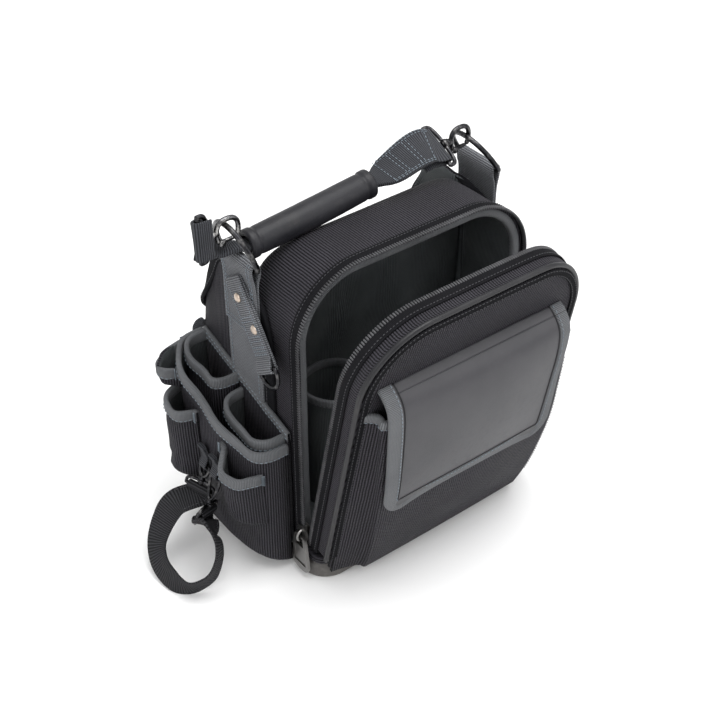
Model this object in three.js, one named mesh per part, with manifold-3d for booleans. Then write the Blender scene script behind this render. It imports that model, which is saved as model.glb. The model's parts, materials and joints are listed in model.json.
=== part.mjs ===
// Zippered tool bag, standing open, in millimetres with +Z up.
// The zip door faces -Y, +X is to the right and the origin is the middle of the flat underside.
import * as THREE from 'three';
import Module from 'manifold-3d';
import { mergeVertices } from 'three/addons/utils/BufferGeometryUtils.js';

const wasm = await Module();
wasm.setup();

// Clearances
const seat = 0.3; // between pieces that touch
const ringPlay = 0.5; // between a ring's wire and the webbing folded round it

// Moulded base
const baseWidth = 262;
const baseDepth = 174;
const baseHeight = 20;
const baseCorner = 24;
const baseBevel = 3;
const floorThickness = 9.7;
const floorInset = 1.2;

// Front compartment
const baseLip = 3; // base beyond each side of the case
const caseTop = 322;
const caseDepth = 88;
const caseCorner = 66;
const caseBackRound = 60;
const caseWall = 4;
const baseOverhang = 24; // base in front of the zip
const tapeReach = 6; // zip tape between the zip's middle and the case wall

// Rear compartment
const rearDepth = 58;
const earThickness = 3;
const earFront = 40;
const earPeakBack = 100;
const earTop = 308;
const rearWallTop = 226;

// Zip
const zipFoot = 33;
const chainThickness = 3.2;
const chainWidth = 2.8;
const chainGap = 1;
const zipTapeThickness = 1.2;
const zipTapeWidth = 13;
const bindingThickness = 1.6;
const bindingWidth = 15;

// Door
const doorAngle = 12.5; // how far it stands open
const doorGusset = 23;
const doorFace = 4;
const doorWall = 3;
const doorFoot = 31;
const doorSkirt = 22; // height of the face's lower edge
const hingeForward = 9; // hinge line in front of the base
const hingeHeight = 20;

// Front pocket and its flap, on the door
const pocketWidth = 196;
const pocketFoot = 14;
const pocketTop = 240;
const pocketDeep = 31;
const pocketShallow = 8;
const pocketTaper = 90;
const softWall = 3;
const flapWidth = 206;
const flapLine = 264;
const flapOut = 36;
const flapDrop = 134;
const flapThickness = 3;
const flapCorner = 16;

// Pockets inside the front compartment
const canPocketRadius = 37;
const canPocketTop = 166;
const canPocketRoom = { left: 29, right: 7 }; // from each pocket to the wall beside it

// Pockets sewn on the left side
const panelThickness = 2;
const panelFront = 15; // behind the zip
const panelTopFront = 163;
const panelTopBack = 205;
const pouchWall = 2.6;
const pouchTop = 208; // height at which every pouch is at its fullest
const innerBackPouch = { front: 90, back: 144, out: 31, foot: 70, lean: 0.35, rimFront: 184, rimBack: 203 };
const innerFrontPouch = { front: 20, back: 86, out: 31, foot: 60, lean: 0.35, rimFront: 158, rimBack: 172 };
const longPouch = { front: 15, back: 148, out: 46, foot: 12, lean: 0.5, rimFront: 150, rimBack: 203 };
const cornerPouch = { front: 128, back: 146, out: 55, foot: 104, lean: 0.12, rimFront: 184, rimBack: 200 };
const backPouch = { front: 97, back: 127, out: 57, foot: 90, lean: 0.12, rimFront: 156, rimBack: 172 };
const frontPouch = { front: 18, back: 59.8, out: 57, foot: 66, lean: 0.12, rimFront: 126, rimBack: 134 };

// Webbing and rings
const strapWidth = 50;
const strapThickness = 2.2;
const strapMiddle = 76; // behind the zip
const strapFoot = 158;
const strapFold = 245;
const ringBarHeight = 317;
const ringWire = 2.5;
const ringHeight = 37.5;
const ringCorner = 3;
const ringLeanLeft = 17;
const ringLeanRight = 32;

// Handle
const hooksBelowRing = 1.2; // swivel line below the top of the right ring
const gripRadius = 14;
const gripLength = 126;
const gripFromRing = 19.8; // grip's left end from the left ring's bar
const gripDrop = 14.6; // grip's middle below the swivel line
const neckWidth = 16;
const neckThickness = 4.6;
const handleWebbing = 38;
const hookWire = 2.3;
const eyeLong = 10.5;
const eyeTall = 11;
const loopWire = 2;
const gateHinge = { x: -7, z: -9.4 }; // from the middle of the hook's eye
const gateNose = { x: 7.6, z: -8.8 };
const gateWidth = 2.8;
const gateTall = 3.2;
const gatePin = 0.8;
const gateKnuckle = 2.2;
const gateCheek = 3.5;

// Zip slider
const sliderRest = 50;
const sliderLength = 20;
const sliderWidth = 14;
const sliderPlate = 1.6;
const pullLength = 44;
const pullTopWidth = 17;
const pullBottomWidth = 25;
const pullThickness = 3;
const pullBar = 1.2;
const archHalf = 6;
const archWire = 1.3;

// Small ring at the corner of the left strap
const tabWidth = 25;
const tabAngle = 55;
const smallWire = 1.8;

// Tape strap hanging from two small tabs on the side pockets
const tapeBarHeight = 99;
const tapeBarRoom = 43.6; // bars from the panel that carries the pouches
const tapeTabWidth = 10;
const tapeTabTop = 124;
const tapeTabPlaces = { back: 87.5, front: 69.3 }; // behind the zip
const tapeEyeLength = { back: 12, front: 26 };
const tapeTurn = { back: 24, front: -66 }; // how far each swivel is turned
const tapeLean = 20;
const tapeWire = 1.6;
const tapeWidth = 25;
// The way of the hanging loop: beyond the bars, behind the zip, height, and the direction of its width
const tapeWay = [
  { out: 24.5, behind: 95, height: 62, wide: [-0.3, 0.95, 0.12] },
  { out: 43.5, behind: 93, height: 49, wide: [-0.15, 0.98, 0.1] },
  { out: 57.5, behind: 83, height: 35, wide: [0.1, 0.95, 0.3] },
  { out: 63.5, behind: 73, height: 24, wide: [0.4, 0.75, 0.5] },
  { out: 61.5, behind: 61, height: 16, wide: [0.5, 0.5, 0.7] },
  { out: 53.5, behind: 49, height: 14, wide: [0.35, 0.25, 0.9] },
  { out: 41.5, behind: 41, height: 16, wide: [0.1, 0, 1] },
  { out: 29.5, behind: 41, height: 22, wide: [-0.3, -0.3, 0.9] },
  { out: 21.5, behind: 48, height: 32, wide: [-0.55, -0.6, 0.6] },
  { out: 17.5, behind: 57, height: 43, wide: [-0.6, -0.7, 0.3] },
];

const zipY = -baseDepth / 2 + baseOverhang;
const floorTop = baseHeight + seat + floorThickness;
const caseFoot = floorTop + seat;
const rearWallY = zipY + caseDepth + seat + rearDepth;
const halfCase = baseWidth / 2 - baseLip;
const earInner = halfCase + seat;
const earOuter = earInner + earThickness;
const hingeY = zipY - baseOverhang - hingeForward;
const hingePoint = new THREE.Vector3(0, hingeY, hingeHeight);

// Materials
const finish = (color, roughness, metalness = 0) => ({ color, roughness, metalness });
const finishes = {
  ballistic: finish(0x2b2a30, 0.9),
  webbing: finish(0x5c5d60, 0.85),
  panel: finish(0x47464c, 0.55),
  lining: finish(0x2e3333, 0.9),
  base: finish(0x73706c, 0.6),
  rubber: finish(0x2a2a2e, 0.5),
  blackMetal: finish(0x1b1c1e, 0.35, 0.9),
  zipMetal: finish(0x6f6d6b, 0.35, 0.9),
  zipper: finish(0x18181a, 0.7),
};

const bag = new THREE.Group();
const door = new THREE.Group();
door.position.copy(hingePoint);
door.rotation.x = THREE.MathUtils.degToRad(doorAngle);
bag.add(door);

function add(name, geometry, finishName, parent = bag) {
  const mesh = new THREE.Mesh(geometry, new THREE.MeshStandardMaterial(finishes[finishName]));
  mesh.name = name;
  parent.add(mesh);
  return mesh;
}

// Solids are joined and cut as closed bodies
function solid(geometry) {
  const bare = new THREE.BufferGeometry();
  bare.setAttribute('position', geometry.getAttribute('position').clone());
  bare.setIndex(geometry.index ? geometry.index.clone() : null);
  const merged = mergeVertices(bare, 1e-4);
  const mesh = new wasm.Mesh({
    numProp: 3,
    vertProperties: new Float32Array(merged.getAttribute('position').array),
    triVerts: new Uint32Array(merged.index.array),
  });
  mesh.merge();
  return new wasm.Manifold(mesh);
}

function geometryOf(body) {
  const mesh = body.getMesh();
  const geometry = new THREE.BufferGeometry();
  geometry.setAttribute('position', new THREE.BufferAttribute(mesh.vertProperties, 3));
  geometry.setIndex(new THREE.BufferAttribute(mesh.triVerts, 1));
  return geometry;
}

const join = (...parts) => parts.reduce((sum, part) => sum.add(part));
const cut = (body, ...tools) => tools.reduce((rest, tool) => rest.subtract(tool), body);

function box(low, high) {
  const size = [0, 1, 2].map((i) => high[i] - low[i]);
  const geometry = new THREE.BoxGeometry(...size);
  geometry.translate(...[0, 1, 2].map((i) => (high[i] + low[i]) / 2));
  return solid(geometry);
}

function extrude(shape, depth, segments = 8) {
  return new THREE.ExtrudeGeometry(shape, { depth, bevelEnabled: false, curveSegments: segments });
}

// A shape drawn in X and Z, carried from yFrom to yTo
function alongY(shape, yFrom, yTo, segments) {
  const geometry = extrude(shape, yTo - yFrom, segments);
  geometry.rotateX(Math.PI / 2);
  geometry.translate(0, yTo, 0);
  return geometry;
}

// A shape drawn in Y and Z, carried from xFrom to xTo
function alongX(shape, xFrom, xTo, segments) {
  const geometry = extrude(shape, xTo - xFrom, segments);
  geometry.rotateY(Math.PI / 2);
  geometry.rotateX(Math.PI / 2);
  geometry.translate(xFrom, 0, 0);
  return geometry;
}

function roundedRectangle(width, height, radius) {
  const w = width / 2;
  const h = height / 2;
  const shape = new THREE.Shape();
  shape.moveTo(-w + radius, -h);
  shape.lineTo(w - radius, -h);
  shape.absarc(w - radius, -h + radius, radius, -Math.PI / 2, 0);
  shape.lineTo(w, h - radius);
  shape.absarc(w - radius, h - radius, radius, 0, Math.PI / 2);
  shape.lineTo(-w + radius, h);
  shape.absarc(-w + radius, h - radius, radius, Math.PI / 2, Math.PI);
  shape.lineTo(-w, -h + radius);
  shape.absarc(-w + radius, -h + radius, radius, Math.PI, 1.5 * Math.PI);
  return shape;
}

// The front outline: straight sides, round upper corners
function archShape(inset, foot) {
  const w = halfCase - inset;
  const r = caseCorner - inset;
  const top = caseTop - inset;
  const shape = new THREE.Shape();
  shape.moveTo(-w, foot);
  shape.lineTo(w, foot);
  shape.lineTo(w, top - r);
  shape.absarc(w - r, top - r, r, 0, Math.PI / 2);
  shape.lineTo(-w + r, top);
  shape.absarc(-w + r, top - r, r, Math.PI / 2, Math.PI);
  return shape;
}

// A closed band between two insets of the front outline, open at its foot
function archBand(outer, inner, foot, yFrom, yTo, segments) {
  const ring = solid(alongY(archShape(outer, foot), yFrom, yTo, segments));
  const core = solid(alongY(archShape(inner, foot - 1), yFrom - 1, yTo + 1, segments));
  return cut(ring, core);
}

// A round wire bent round a closed line of points, as one closed tube
function closedWire(points, radius, sides = 8) {
  const count = points.length;
  const positions = [];
  const index = [];
  const normal = new THREE.Vector3();
  for (let i = 0; i < count; i++) {
    const next = points[(i + 1) % count];
    normal.x += (points[i].y - next.y) * (points[i].z + next.z);
    normal.y += (points[i].z - next.z) * (points[i].x + next.x);
    normal.z += (points[i].x - next.x) * (points[i].y + next.y);
  }
  normal.normalize();
  for (let i = 0; i < count; i++) {
    const before = points[(i + count - 1) % count];
    const after = points[(i + 1) % count];
    const along = after.clone().sub(before).normalize();
    const across = new THREE.Vector3().crossVectors(along, normal).normalize();
    for (let k = 0; k < sides; k++) {
      const angle = (2 * Math.PI * k) / sides;
      const place = points[i].clone()
        .addScaledVector(across, radius * Math.cos(angle))
        .addScaledVector(normal, radius * Math.sin(angle));
      positions.push(place.x, place.y, place.z);
    }
  }
  for (let i = 0; i < count; i++) {
    const j = (i + 1) % count;
    for (let k = 0; k < sides; k++) {
      const m = (k + 1) % sides;
      index.push(i * sides + k, i * sides + m, j * sides + k);
      index.push(i * sides + m, j * sides + m, j * sides + k);
    }
  }
  const geometry = new THREE.BufferGeometry();
  geometry.setAttribute('position', new THREE.Float32BufferAttribute(positions, 3));
  geometry.setIndex(index);
  return outward(geometry);
}

// Turns the faces round when the enclosed volume comes out negative
function outward(geometry) {
  const p = geometry.getAttribute('position');
  const idx = geometry.index.array;
  let volume = 0;
  const a = new THREE.Vector3();
  const b = new THREE.Vector3();
  const c = new THREE.Vector3();
  for (let i = 0; i < idx.length; i += 3) {
    a.fromBufferAttribute(p, idx[i]);
    b.fromBufferAttribute(p, idx[i + 1]);
    c.fromBufferAttribute(p, idx[i + 2]);
    volume += a.dot(b.cross(c));
  }
  if (volume < 0) {
    for (let i = 0; i < idx.length; i += 3) {
      const keep = idx[i + 1];
      idx[i + 1] = idx[i + 2];
      idx[i + 2] = keep;
    }
  }
  return geometry;
}

// Merges the seam of a turned shape and drops its collapsed faces
function weld(geometry) {
  return geometryOf(solid(geometry));
}

// Joins rings of equal point counts into a closed skin with flat ends
function skin(rings) {
  const count = rings[0].length;
  const positions = rings.flat(2);
  const index = [];
  for (let i = 0; i + 1 < rings.length; i++) {
    for (let k = 0; k < count; k++) {
      const m = (k + 1) % count;
      const a = i * count;
      const b = a + count;
      index.push(a + k, a + m, b + k);
      index.push(a + m, b + m, b + k);
    }
  }
  const flat = rings[0].map(([x, y]) => new THREE.Vector2(x, y));
  const faces = THREE.ShapeUtils.triangulateShape(flat, []);
  const last = (rings.length - 1) * count;
  const turn = Math.sign(THREE.ShapeUtils.area(flat));
  for (const face of faces) {
    const same = Math.sign(THREE.ShapeUtils.area(face.map((i) => flat[i]))) === turn;
    const [a, b, c] = same ? face : [face[0], face[2], face[1]];
    index.push(a, c, b);
    index.push(last + a, last + b, last + c);
  }
  const geometry = new THREE.BufferGeometry();
  geometry.setAttribute('position', new THREE.Float32BufferAttribute(positions, 3));
  geometry.setIndex(index);
  return outward(geometry);
}

// A strap with a flat section carried along a path; each stop gives place, width, thickness and twist
function ribbon(stops) {
  const positions = [];
  const index = [];
  const count = stops.length;
  for (let i = 0; i < count; i++) {
    const before = stops[Math.max(i - 1, 0)].at;
    const after = stops[Math.min(i + 1, count - 1)].at;
    const along = new THREE.Vector3(...after).sub(new THREE.Vector3(...before)).normalize();
    const wide = new THREE.Vector3(...stops[i].wide);
    wide.addScaledVector(along, -wide.dot(along)).normalize();
    const thick = new THREE.Vector3().crossVectors(along, wide);
    const corners = [[-1, -1], [1, -1], [1, 1], [-1, 1]];
    for (const [s, t] of corners) {
      const place = new THREE.Vector3(...stops[i].at)
        .addScaledVector(wide, (s * stops[i].width) / 2)
        .addScaledVector(thick, (t * stops[i].thickness) / 2);
      positions.push(place.x, place.y, place.z);
    }
  }
  for (let i = 0; i + 1 < count; i++) {
    for (let k = 0; k < 4; k++) {
      const m = (k + 1) % 4;
      index.push(i * 4 + k, i * 4 + m, i * 4 + 4 + k);
      index.push(i * 4 + m, i * 4 + 4 + m, i * 4 + 4 + k);
    }
  }
  const last = (count - 1) * 4;
  index.push(0, 2, 1, 0, 3, 2, last, last + 1, last + 2, last, last + 2, last + 3);
  const geometry = new THREE.BufferGeometry();
  geometry.setAttribute('position', new THREE.Float32BufferAttribute(positions, 3));
  geometry.setIndex(index);
  return outward(geometry);
}

// Moulded base with a bevelled edge
{
  const outline = roundedRectangle(baseWidth - 2 * baseBevel, baseDepth - 2 * baseBevel, baseCorner);
  const outer = new THREE.ExtrudeGeometry(outline, {
    depth: baseHeight - 2 * baseBevel,
    bevelThickness: baseBevel,
    bevelSize: baseBevel,
    bevelSegments: 2,
    curveSegments: 7,
  });
  outer.translate(0, 0, baseBevel);
  add('base_tray', outer, 'base');
}

// Stiff floor that the bag is riveted through, standing just inside the base's outline
{
  const outline = roundedRectangle(
    baseWidth - 2 * floorInset,
    baseDepth - 2 * floorInset,
    baseCorner - floorInset,
  );
  const geometry = extrude(outline, floorThickness, 7);
  geometry.translate(0, 0, baseHeight + seat);
  add('floor_panel', geometry, 'ballistic');
}

// The side outline of the front compartment: square in front, rounded behind
function caseSideShape(inset, front, foot) {
  const back = zipY + caseDepth - inset;
  const top = caseTop - inset;
  const r = caseBackRound - inset;
  const shape = new THREE.Shape();
  shape.moveTo(front, foot);
  shape.lineTo(back, foot);
  shape.lineTo(back, top - r);
  shape.absarc(back - r, top - r, r, 0, Math.PI / 2);
  shape.lineTo(front, top);
  return shape;
}

function caseBody(inset, front, foot) {
  const across = solid(alongY(archShape(inset, foot), front, zipY + caseDepth - inset, 8));
  const side = solid(alongX(caseSideShape(inset, front, foot), -halfCase, halfCase, 8));
  return across.intersect(side);
}

const caseFront = zipY + tapeReach;
add(
  'front_case',
  geometryOf(cut(caseBody(0, caseFront, caseFoot), caseBody(caseWall, caseFront - 1, caseFoot + caseWall))),
  'ballistic',
);

// Rear compartment: two arched sides, a back wall and a floor
function earShape() {
  const front = zipY + earFront;
  const back = rearWallY;
  const peak = zipY + earPeakBack;
  const shape = new THREE.Shape();
  shape.moveTo(front, caseFoot);
  shape.lineTo(back, caseFoot);
  shape.lineTo(back, rearWallTop);
  shape.bezierCurveTo(back - 4, earTop - 40, back - 18, earTop - 14, peak + 12, earTop - 2);
  shape.quadraticCurveTo(peak, earTop + 2, peak - 14, earTop - 4);
  shape.bezierCurveTo(peak - 34, earTop - 16, front + 6, earTop - 36, front, earTop - 62);
  return shape;
}
{
  const left = solid(alongX(earShape(), -earOuter, -earInner, 6));
  const right = solid(alongX(earShape(), earInner, earOuter, 6));
  const wallFront = rearWallY - earThickness;
  const back = box([-earOuter, wallFront, caseFoot], [earOuter, rearWallY, rearWallTop]);
  const floorFront = zipY + caseDepth + seat;
  const floor = box([-earOuter, floorFront, caseFoot], [earOuter, rearWallY, caseFoot + earThickness]);
  add('rear_compartment', geometryOf(join(left, right, back, floor)), 'ballistic');
}

// Grey binding inside the front compartment's rim
{
  const band = archBand(
    caseWall + seat,
    caseWall + seat + bindingThickness,
    caseFoot + caseWall + seat,
    caseFront,
    caseFront + bindingWidth,
    8,
  );
  add('rim_binding', geometryOf(band), 'webbing');
}

// Zip tapes: a thin band on the outside of a wall, thickened into the chain at its free edge
function zipTape(foot, side) {
  const reach = chainGap + chainWidth + zipTapeWidth;
  const edges = [side * chainGap, side * (chainGap + chainWidth), side * reach];
  const yOf = (value) => zipY + value;
  const chain = archBand(
    -seat - zipTapeThickness / 2 - chainThickness / 2,
    -seat - zipTapeThickness / 2 + chainThickness / 2,
    foot,
    Math.min(yOf(edges[0]), yOf(edges[1])),
    Math.max(yOf(edges[0]), yOf(edges[1])),
    8,
  );
  const tape = archBand(
    -seat - zipTapeThickness,
    -seat,
    foot,
    Math.min(yOf(edges[1]), yOf(edges[2])) - 0.5,
    Math.max(yOf(edges[1]), yOf(edges[2])) + 0.5,
    8,
  );
  return join(chain, tape);
}
add('zip_tape_case', geometryOf(zipTape(zipFoot, 1)), 'zipper');

// Pieces of the door are drawn closed, then moved so that the hinge line is at the group's origin
function addToDoor(name, geometry, finishName) {
  geometry.translate(-hingePoint.x, -hingePoint.y, -hingePoint.z);
  return add(name, geometry, finishName, door);
}

const doorBack = zipY - tapeReach;
const doorInnerFace = doorBack - (doorGusset - tapeReach) + doorFace;
const doorOuterFace = zipY - doorGusset - doorFace;
{
  const outer = solid(alongY(archShape(0, doorFoot), doorOuterFace, doorBack, 8));
  const innerShape = archShape(doorWall, doorFoot + doorWall);
  const inner = solid(alongY(innerShape, doorOuterFace + doorFace, doorBack + 1, 8));
  const skirtHalf = halfCase - baseCorner;
  const skirt = box(
    [-skirtHalf, doorOuterFace, doorSkirt],
    [skirtHalf, doorOuterFace + doorFace, doorFoot + 1],
  );
  addToDoor('door_shell', geometryOf(join(cut(outer, inner), skirt)), 'ballistic');
}
addToDoor('zip_tape_door', geometryOf(zipTape(doorFoot + 2, -1)), 'zipper');

// Front pocket: a wedge that opens upwards under the flap
function pocketWedge(inset, back, top) {
  const face = doorOuterFace - seat;
  const shape = new THREE.Shape();
  shape.moveTo(face + back, pocketFoot + inset);
  shape.lineTo(face + back, top);
  shape.lineTo(face - pocketDeep + inset, top);
  shape.lineTo(face - pocketDeep + inset, pocketFoot + pocketTaper);
  shape.quadraticCurveTo(
    face - pocketDeep + inset,
    pocketFoot + pocketTaper * 0.45,
    face - pocketShallow + inset * 0.4,
    pocketFoot + inset,
  );
  return shape;
}
{
  const w = pocketWidth / 2;
  const outer = solid(alongX(pocketWedge(0, 0, pocketTop), -w, w, 6));
  const inner = solid(alongX(pocketWedge(softWall, 1, pocketTop + 1), -w + softWall, w - softWall, 6));
  const skirtRoom = box(
    [-w - 1, doorOuterFace - seat, 0],
    [w + 1, doorOuterFace + doorFace + seat, pocketFoot],
  );
  addToDoor('front_pocket', geometryOf(cut(outer, inner, skirtRoom)), 'ballistic');
}

// Flap of the front pocket: a top strip that leaves the door's face and a front that hangs from it
const flapFace = doorOuterFace - seat - flapOut;
{
  const w = flapWidth / 2;
  const strip = box(
    [-w, flapFace + flapThickness / 2 + seat, flapLine - flapThickness / 2],
    [w, doorOuterFace - seat, flapLine + flapThickness / 2],
  );
  addToDoor('flap_top', geometryOf(strip), 'panel');
  const shape = new THREE.Shape();
  const top = flapLine + flapThickness / 2;
  const foot = top - flapDrop;
  shape.moveTo(-w, top);
  shape.lineTo(-w, foot + flapCorner);
  shape.absarc(-w + flapCorner, foot + flapCorner, flapCorner, Math.PI, 1.5 * Math.PI);
  shape.lineTo(w - flapCorner, foot);
  shape.absarc(w - flapCorner, foot + flapCorner, flapCorner, 1.5 * Math.PI, 2 * Math.PI);
  shape.lineTo(w, top);
  const front = alongY(shape, flapFace - flapThickness / 2, flapFace + flapThickness / 2, 5);
  addToDoor('flap_front', front, 'panel');
}

// Round open-topped pockets on the back wall of the front compartment
const canReach = halfCase - caseWall - canPocketRadius;
const canPocketPlaces = [canPocketRoom.left - canReach, canReach - canPocketRoom.right];
canPocketPlaces.forEach((x, i) => {
  const back = zipY + caseDepth - caseWall - seat;
  const middle = back - canPocketRadius;
  const foot = caseFoot + caseWall + seat;
  const outline = (r) => {
    const shape = new THREE.Shape();
    shape.moveTo(x - r, middle);
    shape.absarc(x, middle, r, Math.PI, 2 * Math.PI);
    shape.lineTo(x + r, back);
    shape.lineTo(x - r, back);
    return shape;
  };
  const outer = extrude(outline(canPocketRadius), canPocketTop - foot, 9);
  outer.translate(0, 0, foot);
  const inner = extrude(outline(canPocketRadius - softWall), canPocketTop, 9);
  inner.translate(0, -softWall, foot + softWall);
  const name = i === 0 ? 'inner_pocket_left' : 'inner_pocket_right';
  add(name, geometryOf(cut(solid(outer), solid(inner))), 'lining');
});

// Panel that carries the side pockets, sewn to the left wall
const panelOuter = earOuter + seat + panelThickness;
{
  const shape = new THREE.Shape();
  shape.moveTo(zipY + panelFront, caseFoot);
  shape.lineTo(rearWallY, caseFoot);
  shape.lineTo(rearWallY, panelTopBack);
  shape.lineTo(zipY + panelFront, panelTopFront);
  const panel = alongX(shape, -panelOuter, -earOuter - seat, 4);
  add('side_pocket_panel', panel, 'ballistic');
}

// A pouch seen from above bulges out of the wall between two places along it; it narrows downwards
// and its rim slopes from the front to the back
const pouchFace = panelOuter + seat;
function pouchSolid({ front, back, out, foot, lean, inset, overshoot, above = 0 }) {
  const wall = pouchFace;
  const levels = 5;
  const steps = 16;
  const rings = [];
  for (let i = 0; i <= levels; i++) {
    const rise = i / levels;
    const z = foot + inset + (pouchTop + above - foot - inset) * rise;
    const swell = 1 - lean * (1 - (z - foot) / (pouchTop - foot)) ** 2;
    const ring = [];
    const from = zipY + front + inset;
    const to = zipY + back - inset;
    for (let k = 0; k <= steps; k++) {
      const angle = (Math.PI * k) / steps;
      const y = (from + to) / 2 - ((to - from) / 2) * Math.cos(angle);
      const reach = (out * swell - inset) * Math.sin(angle) ** 0.45;
      ring.push([-(wall + (k === 0 || k === steps ? 0 : reach)), y, z]);
    }
    ring.push([-(wall - overshoot), to, z]);
    ring.push([-(wall - overshoot), from, z]);
    rings.push(ring);
  }
  return solid(skin(rings));
}

function pouch(name, size, behind) {
  const { rimFront, rimBack } = size;
  const outer = pouchSolid({ ...size, inset: 0, overshoot: 0.01 });
  const inner = pouchSolid({ ...size, inset: pouchWall, overshoot: 5, above: 5 });
  const rim = new THREE.Shape();
  const rise = (rimBack - rimFront) / (size.back - size.front);
  const from = zipY + size.front - 20;
  const to = zipY + size.back + 20;
  rim.moveTo(from, rimFront - 20 * rise);
  rim.lineTo(to, rimBack + 20 * rise);
  rim.lineTo(to, pouchTop + 80);
  rim.lineTo(from, pouchTop + 80);
  const reach = pouchFace + size.out + 20;
  const above = solid(alongX(rim, -reach, -pouchFace + 20, 4));
  const tools = behind ? [inner, above, behind] : [inner, above];
  add(name, geometryOf(cut(outer, ...tools)), 'ballistic');
}

pouch('pocket_inner_back', innerBackPouch);
pouch('pocket_inner_front', innerFrontPouch);
pouch('pocket_outer', longPouch);
const longPouchSkin = pouchSolid({
  ...longPouch,
  front: longPouch.front - seat,
  back: longPouch.back + seat,
  out: longPouch.out + 2 * seat,
  inset: 0,
  overshoot: 1,
});
pouch('pocket_small_corner', cornerPouch, longPouchSkin);
pouch('pocket_small_back', backPouch, longPouchSkin);
pouch('pocket_small_front', frontPouch, longPouchSkin);

// Webbing folded round a bar that lies along Y: two legs down from an eye, seen from the front
const foldRadius = (wire) => wire + ringPlay + strapThickness;
function barEye(x, z, wire, yFrom, yTo, hollow) {
  const radius = hollow ? wire + ringPlay : foldRadius(wire);
  const shape = new THREE.Shape();
  shape.absarc(x, z, radius, 0, 2 * Math.PI);
  return solid(alongY(shape, yFrom, yTo, 6));
}

const strapInner = earOuter + seat;
const barOut = strapInner + strapThickness;
const strapFrom = zipY + strapMiddle - strapWidth / 2;
const strapTo = zipY + strapMiddle + strapWidth / 2;
function earStrap(name, side, room) {
  const span = (a, b) => [Math.min(side * a, side * b), Math.max(side * a, side * b)];
  const [innerLow, innerHigh] = span(strapInner, barOut);
  const [outerLow, outerHigh] = span(barOut - 0.01, barOut + strapThickness);
  const innerLeg = box([innerLow, strapFrom, strapFoot], [innerHigh, strapTo, ringBarHeight]);
  const outerLeg = box([outerLow, strapFrom, strapFold], [outerHigh, strapTo, ringBarHeight]);
  const eye = barEye(side * barOut, ringBarHeight, ringWire, strapFrom, strapTo, false);
  const hole = barEye(side * barOut, ringBarHeight, ringWire, strapFrom - 1, strapTo + 1, true);
  const tools = room ? [hole, room] : [hole];
  add(name, geometryOf(cut(join(innerLeg, outerLeg, eye), ...tools)), 'webbing');
}
{
  const room = new THREE.Shape();
  room.moveTo(zipY + panelFront, caseFoot);
  room.lineTo(rearWallY, caseFoot);
  room.lineTo(rearWallY, panelTopBack + seat);
  room.lineTo(zipY + panelFront, panelTopFront + seat);
  const panelRoom = solid(alongX(room, -barOut - 10, 0, 4));
  earStrap('ear_strap_left', -1, panelRoom);
  earStrap('ear_strap_right', 1);
}

// D-ring: a straight bar and a bowed side. The bar lies along Y through the origin and the bow
// reaches out along +Z
function dRing(webbingWidth, height, wire, corner) {
  const w = webbingWidth / 2 + ringPlay + corner;
  const points = [];
  const bow = 14;
  for (let i = 0; i <= bow; i++) {
    const angle = (Math.PI * i) / bow;
    points.push(new THREE.Vector3(0, w * Math.cos(angle), corner + (height - corner) * Math.sin(angle)));
  }
  points.push(new THREE.Vector3(0, -w + corner * 0.3, corner * 0.3));
  points.push(new THREE.Vector3(0, -w + corner, 0));
  points.push(new THREE.Vector3(0, 0, 0));
  points.push(new THREE.Vector3(0, w - corner, 0));
  points.push(new THREE.Vector3(0, w - corner * 0.3, corner * 0.3));
  return closedWire(points, wire);
}

function leanRing(name, side, lean) {
  const ring = add(name, dRing(strapWidth, ringHeight, ringWire, ringCorner), 'blackMetal');
  ring.position.set(side * barOut, zipY + strapMiddle, ringBarHeight);
  ring.rotation.y = -THREE.MathUtils.degToRad(lean);
}
leanRing('ring_left', -1, ringLeanLeft);
leanRing('ring_right', 1, ringLeanRight);

// Swivels lie along X. A hook's stem ends in a pin whose head turns inside the boss of a webbing loop
const handleSwivel = {
  start: eyeLong + hookWire, // outside of the hook's eye
  shank: 3.5,
  pin: 1.8,
  boss: 4,
  radius: 4.6,
  head: 2,
  reach: 10,
  wire: loopWire,
  webbing: handleWebbing,
};
const bossFrom = (s) => s.start + s.shank + seat;
const bossMiddle = (s) => bossFrom(s) + s.boss / 2;
const barReach = (s) => bossMiddle(s) + s.reach;
const headRadius = (s) => s.radius * 0.74;

function turned(profile, segments = 14) {
  const points = profile.map(([r, x]) => new THREE.Vector2(r, x));
  const geometry = new THREE.LatheGeometry(points, segments);
  geometry.rotateZ(Math.PI / 2);
  return solid(geometry);
}

function swivelStem(s, eyeWire) {
  const pinEnd = bossFrom(s) + s.boss + seat;
  const neck = s.start + s.shank;
  return turned([
    [0, s.start - eyeWire],
    [eyeWire * 1.25, s.start - eyeWire],
    [s.radius * 0.85, s.start + 0.3 * s.shank],
    [s.radius * 0.85, neck],
    [s.pin, neck],
    [s.pin, pinEnd],
    [headRadius(s), pinEnd],
    [headRadius(s) - 0.4, pinEnd + s.head],
    [0, pinEnd + s.head],
  ]);
}

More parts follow.
